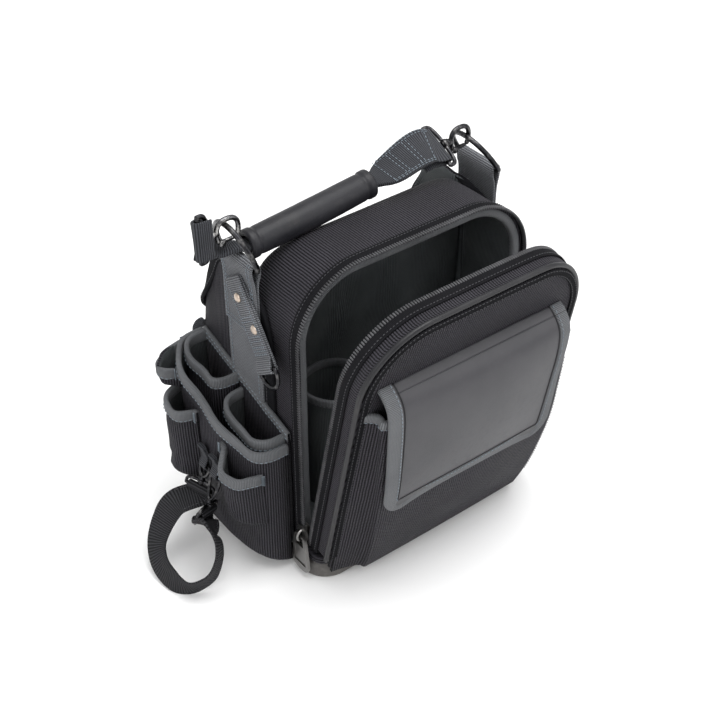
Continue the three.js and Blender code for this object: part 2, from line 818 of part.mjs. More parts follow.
function swivelLoop(s) {
  const points = [];
  const steps = 12;
  const half = s.webbing / 2 + 1 + s.wire;
  for (let i = 0; i <= steps; i++) {
    const angle = (Math.PI * i) / steps;
    const x = -barReach(s) + s.reach * Math.sin(angle) ** 0.4;
    points.push(new THREE.Vector3(x, half * Math.cos(angle), 0));
  }
  points.push(new THREE.Vector3(-barReach(s) - 0.01, 0, 0));
  const wire = solid(closedWire(points, s.wire));
  const bossEnd = bossFrom(s) + s.boss;
  const boss = turned([
    [0, bossFrom(s)],
    [s.radius, bossFrom(s)],
    [s.radius, bossEnd],
    [0, bossEnd],
  ]);
  const hole = turned([
    [0, bossFrom(s) - 3],
    [s.pin + seat, bossFrom(s) - 3],
    [s.pin + seat, bossEnd],
    [headRadius(s) + seat, bossEnd],
    [headRadius(s) + seat, bossEnd + s.head + 2],
    [0, bossEnd + s.head + 2],
  ]);
  return geometryOf(cut(join(wire, boss), hole));
}

// Snap hook of the handle: an oval eye round the D-ring, open below, with two cheeks for its gate
const slotHalf = gateWidth / 2 + seat;
const knuckleRoom = gateKnuckle + seat;
const cheekRadius = knuckleRoom + 0.7;
function gateRound(radius, half) {
  const shape = new THREE.Shape();
  shape.absarc(gateHinge.x, gateHinge.z, radius, 0, 2 * Math.PI);
  return solid(alongY(shape, -half, half, 6));
}
function snapHook() {
  const points = [];
  const steps = 20;
  for (let i = 0; i < steps; i++) {
    const angle = (2 * Math.PI * i) / steps;
    const c = Math.cos(angle);
    const s = Math.sin(angle);
    const x = eyeLong * Math.sign(c) * Math.abs(c) ** 0.8;
    const z = eyeTall * Math.sign(s) * Math.abs(s) ** 0.8;
    points.push(new THREE.Vector3(x, 0, z));
  }
  const eye = solid(closedWire(points, hookWire));
  const low = -eyeTall - 2 * hookWire;
  const mouth = box([gateHinge.x, -eyeTall, low], [gateNose.x, eyeTall, gateHinge.z + eyeTall / 2]);
  const cheeks = join(cut(eye, mouth), gateRound(cheekRadius, gateCheek));
  const slot = box([gateHinge.x, -slotHalf, low], [gateNose.x, slotHalf, gateHinge.z + cheekRadius]);
  const open = cut(cheeks, gateRound(knuckleRoom, slotHalf), slot);
  const hook = join(open, gateRound(gatePin, gateCheek));
  return geometryOf(join(hook, swivelStem(handleSwivel, hookWire)));
}

// Gate of a snap hook: a bar from the pin between the cheeks to the hook's nose, which opens inwards
function hookGate() {
  const slope = Math.atan2(gateNose.z - gateHinge.z, gateNose.x - gateHinge.x);
  const nose = gateNose.x - seat;
  const shape = new THREE.Shape();
  const half = gateTall / 2;
  shape.moveTo(gateHinge.x, gateHinge.z - half);
  shape.lineTo(nose - 0.6, gateNose.z - half);
  shape.lineTo(nose, gateNose.z - half + 0.8);
  shape.lineTo(nose, gateNose.z + half - 0.8);
  shape.lineTo(nose - 0.6, gateNose.z + half);
  shape.lineTo(gateHinge.x - Math.sin(slope) * half, gateHinge.z + half);
  const bar = solid(alongY(shape, -gateWidth / 2, gateWidth / 2, 4));
  const knuckle = gateRound(gateKnuckle, gateWidth / 2);
  return geometryOf(cut(join(bar, knuckle), gateRound(gatePin + seat, gateWidth)));
}

const reachOf = (lean) => ringHeight * Math.sin(THREE.MathUtils.degToRad(lean));
const ringTouch = eyeLong - hookWire - ringWire - 2 * seat;
const leftHang = 1.5; // the left hook hangs from its upper inside, beside its middle
const axleHeight =
  ringBarHeight + ringHeight * Math.cos(THREE.MathUtils.degToRad(ringLeanRight)) - hooksBelowRing;
const hookPlaces = {
  left: -barOut - reachOf(ringLeanLeft) + leftHang,
  right: barOut - reachOf(ringLeanRight) - ringTouch,
};
const axleY = zipY + strapMiddle;
for (const [side, x] of Object.entries(hookPlaces)) {
  add(`snap_hook_${side}`, snapHook(), 'blackMetal').position.set(x, axleY, axleHeight);
  add(`swivel_loop_${side}`, swivelLoop(handleSwivel), 'blackMetal').position.set(x, axleY, axleHeight);
  add(`hook_gate_${side}`, hookGate(), 'blackMetal').position.set(x, axleY, axleHeight);
}

// Handle webbing: runs through the grip and folds round both swivel loops
const gripLeft = gripFromRing - barOut;
const gripRight = gripLeft + gripLength;
const gripHeight = axleHeight - gripDrop;
{
  const barLeft = hookPlaces.left - barReach(handleSwivel);
  const barRight = hookPlaces.right - barReach(handleSwivel);
  const fold = foldRadius(loopWire);
  const legLeft = barLeft - fold + strapThickness / 2;
  const stop = (x, z, width, thickness = neckThickness) => ({
    at: [x, axleY, z],
    wide: [0, 1, 0],
    width,
    thickness,
  });
  const underEye = axleHeight - eyeTall - hookWire - neckThickness / 2 - 3;
  const leg = strapThickness - 0.4;
  const strap = ribbon([
    stop(legLeft, axleHeight + 0.5, handleWebbing - 1, leg),
    stop(legLeft, axleHeight - 9, handleWebbing - 1, leg),
    stop(barLeft + 1, underEye + 4, handleWebbing - 1),
    stop(barLeft + 8, underEye + 1, (neckWidth + handleWebbing) / 2),
    stop(hookPlaces.left - eyeLong, underEye, neckWidth),
    stop(-barOut, underEye, neckWidth),
    stop(gripLeft - 14, underEye + 1.5, neckWidth),
    stop(gripLeft - 3, gripHeight, neckWidth),
    stop(gripRight + 3, gripHeight, neckWidth),
    stop(gripRight + 12, gripHeight + 1.5, handleWebbing - 1),
    stop(barRight - 14, axleHeight - 2, handleWebbing - 1),
    stop(barRight - fold + 1, axleHeight, handleWebbing - 1),
  ]);
  const yFrom = axleY - handleWebbing / 2;
  const yTo = axleY + handleWebbing / 2;
  const eyes = [barLeft, barRight].map((x) => barEye(x, axleHeight, loopWire, yFrom, yTo, false));
  const holes = [barLeft, barRight].map((x) => barEye(x, axleHeight, loopWire, yFrom - 1, yTo + 1, true));
  add('handle_webbing', geometryOf(cut(join(solid(strap), ...eyes), ...holes)), 'webbing');
}

// Grip: a rubber tube with raised ends
{
  const bore = Math.hypot(neckWidth / 2, neckThickness / 2) + seat;
  const length = gripLength;
  const profile = [
    [bore, 0],
    [gripRadius - 1.5, 0],
    [gripRadius, 2],
    [gripRadius, 7],
    [gripRadius - 1, 10],
    [gripRadius - 0.4, length / 2],
    [gripRadius - 1, length - 10],
    [gripRadius, length - 7],
    [gripRadius, length - 2],
    [gripRadius - 1.5, length],
    [bore, length],
  ];
  const points = [...profile, profile[0]].map(([r, x]) => new THREE.Vector2(r, x));
  const geometry = new THREE.LatheGeometry(points, 24);
  geometry.rotateZ(-Math.PI / 2);
  const grip = add('grip', outward(weld(geometry)), 'rubber');
  grip.position.set(gripLeft, axleY, gripHeight);
}

// Zip slider on the left run: two plates, a bridge between the chains and an arch for the pull
const chainOut = halfCase + seat + zipTapeThickness / 2;
const plateInside = chainOut - chainThickness / 2 - 0.4;
const plateOutside = chainOut + chainThickness / 2 + 0.4;
const pullHalf = pullThickness / 2 - 0.2;
const pullTurn = Math.hypot(pullHalf, pullBar); // reach of the pull's bar as it turns
const pullPivotX = -(plateOutside + sliderPlate + seat + pullTurn);
const archSink = 0.5;
const archRise = archSink + 2 * (pullTurn + seat) + archWire;
{
  const half = sliderLength / 2;
  const innerHalf = tapeReach - 0.6;
  const plate = (outFrom, outTo, halfWidth) => {
    const shape = new THREE.Shape();
    shape.moveTo(zipY - halfWidth * 0.55, sliderRest - half);
    shape.lineTo(zipY + halfWidth * 0.55, sliderRest - half);
    shape.lineTo(zipY + halfWidth, sliderRest - half * 0.1);
    shape.lineTo(zipY + halfWidth, sliderRest + half * 0.7);
    shape.lineTo(zipY + halfWidth * 0.6, sliderRest + half);
    shape.lineTo(zipY - halfWidth * 0.6, sliderRest + half);
    shape.lineTo(zipY - halfWidth, sliderRest + half * 0.7);
    shape.lineTo(zipY - halfWidth, sliderRest - half * 0.1);
    return solid(alongX(shape, -outTo, -outFrom, 4));
  };
  const outside = plate(plateOutside, plateOutside + sliderPlate, sliderWidth / 2);
  const inside = plate(plateInside - sliderPlate, plateInside, innerHalf);
  const bridgeHalf = chainGap - 0.35;
  const bridge = box(
    [-plateOutside - 0.1, zipY - bridgeHalf, sliderRest + 3],
    [-plateInside + 0.1, zipY + bridgeHalf, sliderRest + half - 1],
  );
  class Arch extends THREE.Curve {
    getPoint(t) {
      const angle = Math.PI * t;
      const x = -(plateOutside + sliderPlate - archSink + archRise * Math.sin(angle) ** 0.7);
      return new THREE.Vector3(x, zipY, sliderRest + archHalf * Math.cos(angle));
    }
  }
  const section = new THREE.Shape();
  section.absarc(0, 0, archWire, 0, 2 * Math.PI);
  const arch = solid(new THREE.ExtrudeGeometry(section, {
    steps: 12,
    curveSegments: 4,
    extrudePath: new Arch(),
    bevelEnabled: false,
  }));
  add('zip_slider', geometryOf(join(outside, inside, bridge, arch)), 'zipMetal');
}

// Pull tab: hangs from its top bar, with a window round the arch and a dished face
{
  const shape = new THREE.Shape();
  const top = sliderRest + pullBar;
  const foot = top - pullLength;
  const wTop = pullTopWidth / 2;
  const wFoot = pullBottomWidth / 2;
  shape.moveTo(zipY - wTop + 2, top);
  shape.lineTo(zipY + wTop - 2, top);
  shape.lineTo(zipY + wTop, top - 2);
  shape.lineTo(zipY + wFoot, foot + 9);
  shape.quadraticCurveTo(zipY + wFoot, foot, zipY, foot);
  shape.quadraticCurveTo(zipY - wFoot, foot, zipY - wFoot, foot + 9);
  shape.lineTo(zipY - wTop, top - 2);
  const window = new THREE.Path();
  window.moveTo(zipY - 4.5, top - 2 * pullBar);
  window.lineTo(zipY - 5.5, top - 13);
  window.lineTo(zipY + 5.5, top - 13);
  window.lineTo(zipY + 4.5, top - 2 * pullBar);
  shape.holes.push(window);
  const half = pullHalf;
  const plate = solid(alongX(shape, pullPivotX - half, pullPivotX + half, 5));
  const dish = box(
    [pullPivotX - half - 1, zipY - wFoot + 4, foot + 8],
    [pullPivotX - half + 0.8, zipY + wFoot - 4, top - 17],
  );
  add('pull_tab', geometryOf(cut(plate, dish)), 'zipMetal');
}

// Webbing tab across the front corner of the left strap, with a small ring hanging from it
{
  const out = barOut + strapThickness + seat;
  const turn = THREE.MathUtils.degToRad(tabAngle);
  const wire = smallWire;
  const length = 38;
  const group = new THREE.Group();
  group.position.set(-out, zipY + 31, 229);
  group.rotation.x = turn - Math.PI / 2;
  bag.add(group);
  const half = tabWidth / 2;
  const eyeOut = foldRadius(wire);
  const leg = box([-2 * strapThickness, -half, 0], [0, half, length]);
  const eye = barEye(-eyeOut, 0, wire, -half, half, false);
  const hole = barEye(-eyeOut, 0, wire, -half - 1, half + 1, true);
  add('corner_tab', geometryOf(cut(join(leg, eye), hole)), 'webbing', group);
  const ring = add('tab_ring', dRing(tabWidth, 17, wire, 2), 'blackMetal', group);
  ring.position.set(-eyeOut, 0, 0);
  ring.rotation.y = Math.PI;
}

// Tape strap: two sewn tabs, two swivel hooks and a twisted loop of webbing that almost reaches the ground
const tapeSwivel = (end) => ({
  start: tapeEyeLength[end] + tapeWire,
  shank: 2,
  pin: 1.3,
  boss: 3.2,
  radius: 3.6,
  head: 1.4,
  reach: 8.2,
  wire: tapeWire,
  webbing: tapeWidth,
});
const tapeBarOut = pouchFace + tapeBarRoom;
const tapeEnds = {};
for (const end of ['back', 'front']) {
  const y = zipY + tapeTabPlaces[end];
  const from = y - tapeTabWidth / 2;
  const to = y + tapeTabWidth / 2;
  const legX = -tapeBarOut + foldRadius(tapeWire) - strapThickness / 2;
  const slope = 2.6; // the pocket leans out towards its rim
  const leg = ribbon([
    { at: [legX, y, tapeBarHeight], wide: [0, 1, 0], width: tapeTabWidth, thickness: strapThickness },
    { at: [legX - slope, y, tapeTabTop], wide: [0, 1, 0], width: tapeTabWidth, thickness: strapThickness },
  ]);
  const eye = barEye(-tapeBarOut, tapeBarHeight, tapeWire, from, to, false);
  const hole = barEye(-tapeBarOut, tapeBarHeight, tapeWire, from - 1, to + 1, true);
  const tab = cut(join(solid(leg), eye), hole, longPouchSkin);
  add(`tape_tab_${end}`, geometryOf(tab), 'webbing');

  const size = tapeSwivel(end);
  const hookEye = dRing(tapeTabWidth, tapeEyeLength[end], tapeWire, 1.5);
  hookEye.rotateY(-Math.PI / 2);
  const hook = join(solid(hookEye), swivelStem(size, tapeWire));
  const loop = swivelLoop(size);
  const hang = new THREE.Euler(0, THREE.MathUtils.degToRad(tapeLean - 90), 0, 'YXZ');
  const turn = new THREE.Euler(THREE.MathUtils.degToRad(tapeTurn[end]), hang.y, 0, 'YXZ');
  const place = new THREE.Vector3(-tapeBarOut, y, tapeBarHeight);
  const hookMesh = add(`tape_hook_${end}`, geometryOf(hook), 'blackMetal');
  hookMesh.position.copy(place);
  hookMesh.rotation.copy(hang);
  const loopMesh = add(`tape_loop_${end}`, loop, 'blackMetal');
  loopMesh.position.copy(place);
  loopMesh.rotation.copy(turn);
  tapeEnds[end] = {
    at: new THREE.Vector3(-barReach(size), 0, 0).applyEuler(hang).add(place),
    along: new THREE.Vector3(0, 1, 0).applyEuler(turn),
    down: new THREE.Vector3(-1, 0, 0).applyEuler(hang),
  };
}
{
  const { back, front } = tapeEnds;
  const thickness = strapThickness;
  const fold = foldRadius(tapeWire) - thickness / 2;
  const near = (end, away) => end.at.clone().addScaledVector(end.down, fold + away).toArray();
  const doubled = (end, away, side) => ({
    at: near(end, away),
    wide: end.along.clone().multiplyScalar(side).toArray(),
    width: tapeWidth,
    thickness: 2 * thickness,
  });
  const way = tapeWay.map(({ out, behind, height, wide }) => ({
    at: [-tapeBarOut - out, zipY + behind, height],
    wide,
    width: tapeWidth,
    thickness,
  }));
  const strap = ribbon([
    doubled(back, -2, 1),
    doubled(back, 2.5, 1),
    ...way,
    doubled(front, 6, -1),
    doubled(front, -2, -1),
  ]);
  const round = (end, radius, length) => {
    const geometry = new THREE.CylinderGeometry(radius, radius, length, 14);
    const turn = new THREE.Quaternion().setFromUnitVectors(new THREE.Vector3(0, 1, 0), end.along);
    geometry.applyQuaternion(turn);
    geometry.translate(...end.at.toArray());
    return solid(geometry);
  };
  const eyes = [back, front].map((end) => round(end, foldRadius(tapeWire), tapeWidth));
  const holes = [back, front].map((end) => round(end, tapeWire + ringPlay, tapeWidth + 4));
  add('tape_strap', geometryOf(cut(join(solid(strap), ...eyes), ...holes)), 'zipper');
}

export default bag;
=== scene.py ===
# Zippered tool bag: soft goods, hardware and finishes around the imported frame.
# Shapes are worked out in millimetres, as arrays, and go into their meshes in metres with +Z up.
import json
import math

import bmesh
import bpy
import mathutils
import numpy as np
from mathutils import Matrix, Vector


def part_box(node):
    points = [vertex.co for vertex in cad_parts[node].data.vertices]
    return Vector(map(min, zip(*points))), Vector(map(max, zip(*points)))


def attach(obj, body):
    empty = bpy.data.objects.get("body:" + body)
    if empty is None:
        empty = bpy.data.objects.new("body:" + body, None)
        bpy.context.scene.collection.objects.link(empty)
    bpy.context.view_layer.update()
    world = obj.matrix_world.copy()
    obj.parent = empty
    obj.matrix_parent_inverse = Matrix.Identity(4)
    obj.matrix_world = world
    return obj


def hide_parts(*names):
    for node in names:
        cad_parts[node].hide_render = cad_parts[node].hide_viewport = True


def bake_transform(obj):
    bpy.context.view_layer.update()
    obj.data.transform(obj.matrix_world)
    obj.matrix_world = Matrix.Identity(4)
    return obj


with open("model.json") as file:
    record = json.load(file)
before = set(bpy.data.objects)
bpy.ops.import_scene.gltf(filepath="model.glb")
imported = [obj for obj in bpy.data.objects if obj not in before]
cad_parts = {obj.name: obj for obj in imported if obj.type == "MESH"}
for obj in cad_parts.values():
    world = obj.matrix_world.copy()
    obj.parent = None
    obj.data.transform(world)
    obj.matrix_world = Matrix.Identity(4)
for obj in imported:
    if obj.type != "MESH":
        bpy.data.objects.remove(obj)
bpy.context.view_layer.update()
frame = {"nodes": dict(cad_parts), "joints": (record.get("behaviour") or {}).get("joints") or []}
mm = 0.001
zipY = -63.0  # middle line of the zip, in the frame's Y
doorOpen = 12.5  # degrees, how far the door stands open at rest
doorHinge = np.array(next(j for j in frame["joints"] if j["name"] == "door_hinge")["pos_m"]) / mm
box = {name: np.array(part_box(name)) / mm for name in frame["nodes"]}


# Vectors brought to length one
def unit(v):
    return v / np.maximum(np.linalg.norm(v, axis=-1, keepdims=True), 1e-9)


# A polyline cut into points at equal lengths
def evenly(curve, count):
    length = np.r_[0, np.cumsum(np.linalg.norm(np.diff(curve, axis=0), axis=1))]
    places = np.linspace(0, length[-1], count)
    return np.stack([np.interp(places, length, column) for column in curve.T], -1)


# A smooth curve through the stops: each span is the cubic that leaves a stop along its neighbours' chord
def spline(stops, count, closed=False):
    p = np.asarray(stops, float)
    p = np.vstack([p[-1:], p, p[:2]]) if closed else np.vstack([2 * p[:1] - p[1:2], p, 2 * p[-1:] - p[-2:-1]])
    t = np.linspace(0, 1, 24, endpoint=False)[None, :, None]
    a, b, c, d = (p[i:len(p) - 3 + i, None] for i in range(4))
    curve = 0.5 * (2 * b + (c - a) * t + (2 * a - 5 * b + 4 * c - d) * t**2 + (3 * b - a - 3 * c + d) * t**3)
    curve = np.vstack([curve.reshape(-1, p.shape[1]), p[-2:-1]])
    return evenly(curve, count + 1)[:-1] if closed else evenly(curve, count)


# Cloth's unevenness: a sum of sine waves of random direction and phase, from -1 to 1
def ripple(u, v, seed, waves=5, reach=2.2):
    r = np.random.default_rng(seed)
    total = 0
    for _ in range(waves):
        a, b, turn = r.uniform(-reach, reach), r.uniform(-reach, reach), r.uniform(0, 2 * math.pi)
        total = total + np.sin(2 * math.pi * (a * u + b * v) + turn)
    return total / waves


# Normals of a grid: the cross product of its two directions, borrowed from the next row at a pole
def gridNormals(grid):
    n = np.cross(np.gradient(grid, axis=0), np.gradient(grid, axis=1))
    size = np.linalg.norm(n, axis=-1, keepdims=True)
    n = n / np.maximum(size, 1e-9)
    flat = size[..., 0] < 1e-7
    if flat[-1].all():
        n[-1] = unit(n[-2].mean(0))
    if flat[0].all():
        n[0] = unit(n[1].mean(0))
    return n


# Corner numbers of a grid's quads, and of the matching places in a pattern grid that has no wrap
def quads(rows, cols, closeRows=False, closeCols=False):
    r, c = np.meshgrid(np.arange(rows - (not closeRows)), np.arange(cols - (not closeCols)), indexing="ij")
    r2, c2 = (r + 1) % rows, (c + 1) % cols
    faces = np.stack([r * cols + c, r2 * cols + c, r2 * cols + c2, r * cols + c2], -1).reshape(-1, 4)
    wide = cols + closeCols
    pattern = np.stack([r * wide + c, (r + 1) * wide + c, (r + 1) * wide + c + 1, r * wide + c + 1], -1)
    return faces, pattern.reshape(-1, 4)


# Lengths along both directions of a grid, in metres, as pattern coordinates
def lengths(grid, closeRows=False, closeCols=False):
    g = grid
    if closeRows:
        g = np.concatenate([g, g[:1]], 0)
    if closeCols:
        g = np.concatenate([g, g[:, :1]], 1)
    along = np.linalg.norm(np.diff(g, axis=0), axis=-1)
    across = np.linalg.norm(np.diff(g, axis=1), axis=-1)
    u = np.concatenate([np.zeros((1, g.shape[1])), np.cumsum(along, 0)], 0)
    v = np.concatenate([np.zeros((g.shape[0], 1)), np.cumsum(across, 1)], 1)
    return np.stack([np.broadcast_to(u.mean(1, keepdims=True), u.shape), v], -1) * mm


# A mesh in metres from points in millimetres, shaded smooth, with its pattern places and finish numbers
def makeMesh(name, points, faces, materials, pattern=None, slots=None):
    mesh = bpy.data.meshes.new(name)
    mesh.from_pydata((np.asarray(points).reshape(-1, 3) * mm).tolist(), [], [list(f) for f in faces])
    if pattern is not None:
        layer = mesh.uv_layers.new(name="UVMap")
        layer.data.foreach_set("uv", np.asarray(pattern, np.float32).ravel())
    for m in materials:
        mesh.materials.append(m)
    if slots is not None:
        mesh.polygons.foreach_set("material_index", np.asarray(slots, np.int32))
    mesh.polygons.foreach_set("use_smooth", np.ones(len(mesh.polygons), bool))
    mesh.update()
    obj = bpy.data.objects.new(name, mesh)
    bpy.context.scene.collection.objects.link(obj)
    return obj


# Cloth with a thickness: the grid is its outer face, which looks away from core; the inner face lies one
# thickness behind it and strips close the open edges. With closeCols the last column joins the first
def cloth(name, grid, thickness, outer, inner=None, core=None, closeCols=False, normals=None):
    rows, cols = grid.shape[:2]
    wrapped = np.concatenate([grid[:, -2:], grid, grid[:, :2]], 1) if closeCols else grid
    n = gridNormals(wrapped)[:, 2:-2] if closeCols else gridNormals(wrapped)
    n = n if normals is None else normals
    core = grid.mean((0, 1)) if core is None else core
    n = n * (1 if (n * (grid - core)).sum() > 0 else -1)
    inside = grid - n * thickness
    faces, spots = quads(rows, cols, False, closeCols)
    uv = lengths(grid, False, closeCols).reshape(-1, 2)
    count = rows * cols
    numbers = np.arange(count).reshape(rows, cols)
    wide = cols + closeCols
    places = np.arange(rows * wide).reshape(rows, wide)
    allFaces, allUv = [faces, faces[:, ::-1] + count], [uv[spots], uv[spots[:, ::-1]]]
    edges = [(numbers[0], places[0]), (numbers[-1], places[-1])]
    if not closeCols:
        edges += [(numbers[:, 0], places[:, 0]), (numbers[:, -1], places[:, -1])]
    for line, where in edges:
        if closeCols:
            line = np.append(line, line[0])
        allFaces.append(np.stack([line[:-1], line[1:], line[1:] + count, line[:-1] + count], -1))
        allUv.append(uv[np.stack([where[:-1], where[1:], where[1:], where[:-1]], -1)])
    slots = np.zeros(sum(len(f) for f in allFaces))
    slots[len(faces):2 * len(faces)] = 1
    points = np.concatenate([grid.reshape(-1, 3), inside.reshape(-1, 3)])
    obj = makeMesh(name, points, np.concatenate(allFaces), [outer, inner or outer],
                   np.concatenate(allUv).reshape(-1, 2), slots)
    smooth = np.ones(len(slots), bool)
    smooth[2 * len(faces):] = False
    obj.data.polygons.foreach_set("use_smooth", smooth)
    return tidyMesh(obj, True)


# Poles merged, faces turned outwards
def tidyMesh(obj, recalc=False):
    bm = bmesh.new()
    bm.from_mesh(obj.data)
    bmesh.ops.remove_doubles(bm, verts=bm.verts, dist=1e-6)
    bmesh.ops.dissolve_degenerate(bm, dist=1e-7, edges=bm.edges)
    if recalc:
        bmesh.ops.recalc_face_normals(bm, faces=bm.faces)
    bm.to_mesh(obj.data)
    bm.free()
    return obj


# A closed profile carried along a path: place + p * a + q * b, for profile points (p, q) and side
# directions a and b
def carry(name, path, a, b, profile, material, closed=False, scale=None):
    path = np.asarray(path, float)
    n, m = len(path), len(profile)
    a, b = np.broadcast_to(a, path.shape), np.broadcast_to(b, path.shape)
    size = np.ones((n, 2)) if scale is None else np.asarray(scale, float)
    p = profile[None, :, 0] * size[:, :1]
    q = profile[None, :, 1] * size[:, 1:]
    grid = path[:, None] + p[..., None] * a[:, None] + q[..., None] * b[:, None]
    faces, places = quads(n, m, closed, True)
    uv = lengths(grid, closed, True).reshape(-1, 2)
    faceList, uvList = [list(f) for f in faces], [uv[places].reshape(-1, 2)]
    if not closed:
        for row, turn in ((0, 1), (n - 1, -1)):
            ring = np.arange(row * m, row * m + m)[::turn]
            faceList.append(list(ring))
            uvList.append((profile * mm)[::turn])
    obj = makeMesh(name, grid, faceList, [material], np.concatenate(uvList))
    return tidyMesh(obj, True)


# The section of folded tape: a flattened circle, thick along p and wide along q
def tapeSection(thick, wide, count=16, power=0.45):
    t = np.linspace(0, 2 * math.pi, count, endpoint=False)
    c, s = np.cos(t), np.sin(t)
    return np.stack([thick / 2 * np.sign(c) * abs(c) ** power, wide / 2 * np.sign(s) * abs(s) ** power], -1)


# The section of a round wire or thread: a circle
def roundSection(radius, count=12):
    t = np.linspace(0, 2 * math.pi, count, endpoint=False)
    return np.stack([radius * np.cos(t), radius * np.sin(t)], -1)


# Side directions of a path: a is the given direction made square to the path, b completes the corner
def sides(path, toward, closed=False):
    step = (np.roll(path, -1, 0) - np.roll(path, 1, 0)) if closed else np.gradient(path, axis=0)
    along = unit(step)
    toward = np.broadcast_to(np.asarray(toward, float), path.shape)
    a = unit(toward - (toward * along).sum(-1, keepdims=True) * along)
    return a, np.cross(along, a)


# A row of sewn stitches: short round threads whose ends dip into the cloth, one per pitch
def stitches(name, path, up, material, pitch=4.2, fill=0.68, radius=0.36, lift=0.12):
    length = np.linalg.norm(np.diff(path, axis=0), axis=1).sum()
    count = max(2, int(length / pitch))
    line = evenly(path, count * 8 + 1)
    if np.ndim(up) > 1:
        upLine = unit(evenly(np.broadcast_to(up, path.shape).copy(), count * 8 + 1))
    else:
        upLine = np.broadcast_to(unit(np.asarray(up, float)), line.shape)
    a, b = sides(line, upLine)
    start = np.arange(count) * 8
    t = np.linspace(-1, 1, 5)
    steps = np.clip((start[:, None] + 4 + t[None] * 4 * fill), 0, len(line) - 1)
    low = steps.astype(int)
    centre, upAt, sideAt = line[low], a[low], b[low]
    centre = centre + (line[np.minimum(low + 1, len(line) - 1)] - line[low]) * (steps - low)[..., None]
    bow = lift + radius * (1 - t**4)
    centre = centre + upAt * bow[None, :, None]
    around = np.linspace(0, 2 * math.pi, 6, endpoint=False)
    swell = radius * np.sqrt(np.maximum(1 - t**6, 0.12))
    points = centre[:, :, None] + swell[None, :, None, None] * (
        np.cos(around)[None, None, :, None] * upAt[:, :, None]
        + np.sin(around)[None, None, :, None] * sideAt[:, :, None])
    faces, _ = quads(5, 6, False, True)
    caps = [list(range(6))[::-1], list(range(24, 30))]
    one = [list(f) for f in faces] + caps
    allFaces = [[v + 30 * k for v in f] for k in range(count) for f in one]
    return tidyMesh(makeMesh(name, points, allFaces, [material]), True)


# A turned shape about an axis: radius r at distance d along it
def turned(name, profile, origin, axis, material, count=28):
    axis = unit(np.asarray(axis, float))
    other = unit(np.cross(axis, [0.3, 0.9, 0.41]))
    third = np.cross(axis, other)
    t = np.linspace(0, 2 * math.pi, count, endpoint=False)
    r, d = np.asarray(profile, float).T
    grid = np.asarray(origin, float) + d[:, None, None] * axis + r[:, None, None] * (
        np.cos(t)[None, :, None] * other + np.sin(t)[None, :, None] * third)
    faces, places = quads(len(profile), count, False, True)
    uv = lengths(grid, False, True).reshape(-1, 2)
    return tidyMesh(makeMesh(name, grid, faces, [material], uv[places].reshape(-1, 2)), True)


# Several pieces made one mesh
def joined(name, parts):
    bpy.ops.object.select_all(action="DESELECT")
    for part in parts:
        part.select_set(True)
    bpy.context.view_layer.objects.active = parts[0]
    bpy.ops.object.join()
    obj = bpy.context.view_layer.objects.active
    obj.select_set(False)
    obj.name = obj.data.name = name
    return obj


# A piece goes on its body, and stands in for the nodes that are named
def place(obj, body, slotName, *nodes):
    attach(obj, body)
    if nodes:
        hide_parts(*nodes)
    return obj


# How the open door's cloth gives way: how far its corner comes in and down, its right side in and the zip's
# edge down, in a door of this half width and height whose face lies this far in front of the zip
doorGive = {"half": 128, "high": 322, "face": 27, "deep": 21, "cornerIn": 13, "sideIn": 3, "cornerDown": 4,
            "droop": 1.5}


# Pieces of the door are worked out closed, then turned about the hinge line. With right and up as shares of
# half width and height, the corner's give goes with the square of both, the side's with the square of right
# times up, and the droop with the cube of up times the share of the distance behind the face
def onDoor(points):
    p, g = np.asarray(points, float), doorGive
    right, up = np.clip(p[..., 0], 0, None) / g["half"], np.clip(p[..., 2], 0, None) / g["high"]
    behind = np.clip((p[..., 1] - zipY + g["face"]) / g["deep"], 0, 1.2)
    corner = right**2 * up**2
    x = p[..., 0] - g["cornerIn"] * corner - g["sideIn"] * right**2 * up
    z = p[..., 2] - g["cornerDown"] * corner - g["droop"] * behind * up**3
    p = np.stack([x, p[..., 1], z], -1) - doorHinge
    c, s = math.cos(math.radians(doorOpen)), math.sin(math.radians(doorOpen))
    return np.stack([p[..., 0], p[..., 1] * c - p[..., 2] * s, p[..., 1] * s + p[..., 2] * c], -1) + doorHinge


# Turn about an axis through a point, in degrees
def turnedAbout(points, origin, axis, degrees):
    k, t = unit(np.asarray(axis, float)), math.radians(degrees)
    p = np.asarray(points, float) - origin
    dot = (p * k).sum(-1, keepdims=True)
    return p * math.cos(t) + np.cross(k, p) * math.sin(t) + k * dot * (1 - math.cos(t)) + origin


# Node helpers: a value or a socket goes into an input
def feed(tree, socket, value):
    if isinstance(value, bpy.types.NodeSocket):
        tree.links.new(value, socket)
    elif value is not None:
        socket.default_value = value


def mathNode(tree, operation, a, b=None, c=None):
    n = tree.nodes.new("ShaderNodeMath")
    n.operation = operation
    for socket, value in zip(n.inputs, (a, b, c)):
        feed(tree, socket, value)
    return n.outputs[0]


def vectorNode(tree, operation, a, b=None):
    n = tree.nodes.new("ShaderNodeVectorMath")
    n.operation = operation
    feed(tree, n.inputs[0], a)
    feed(tree, n.inputs[1], b)
    return n.outputs[0]


def noiseNode(tree, vector, scale, detail=3.0, roughness=0.55):
    n = tree.nodes.new("ShaderNodeTexNoise")
    feed(tree, n.inputs["Vector"], vector)
    n.inputs["Scale"].default_value = scale
    n.inputs["Detail"].default_value = detail
    n.inputs["Roughness"].default_value = roughness
    return n.outputs[0]


def between(tree, value, low, high, toLow=0.0, toHigh=1.0):
    n = tree.nodes.new("ShaderNodeMapRange")
    n.interpolation_type = "SMOOTHSTEP"
    feed(tree, n.inputs["Value"], value)
    for key, number in (("From Min", low), ("From Max", high), ("To Min", toLow), ("To Max", toHigh)):
        n.inputs[key].default_value = number
    return n.outputs["Result"]


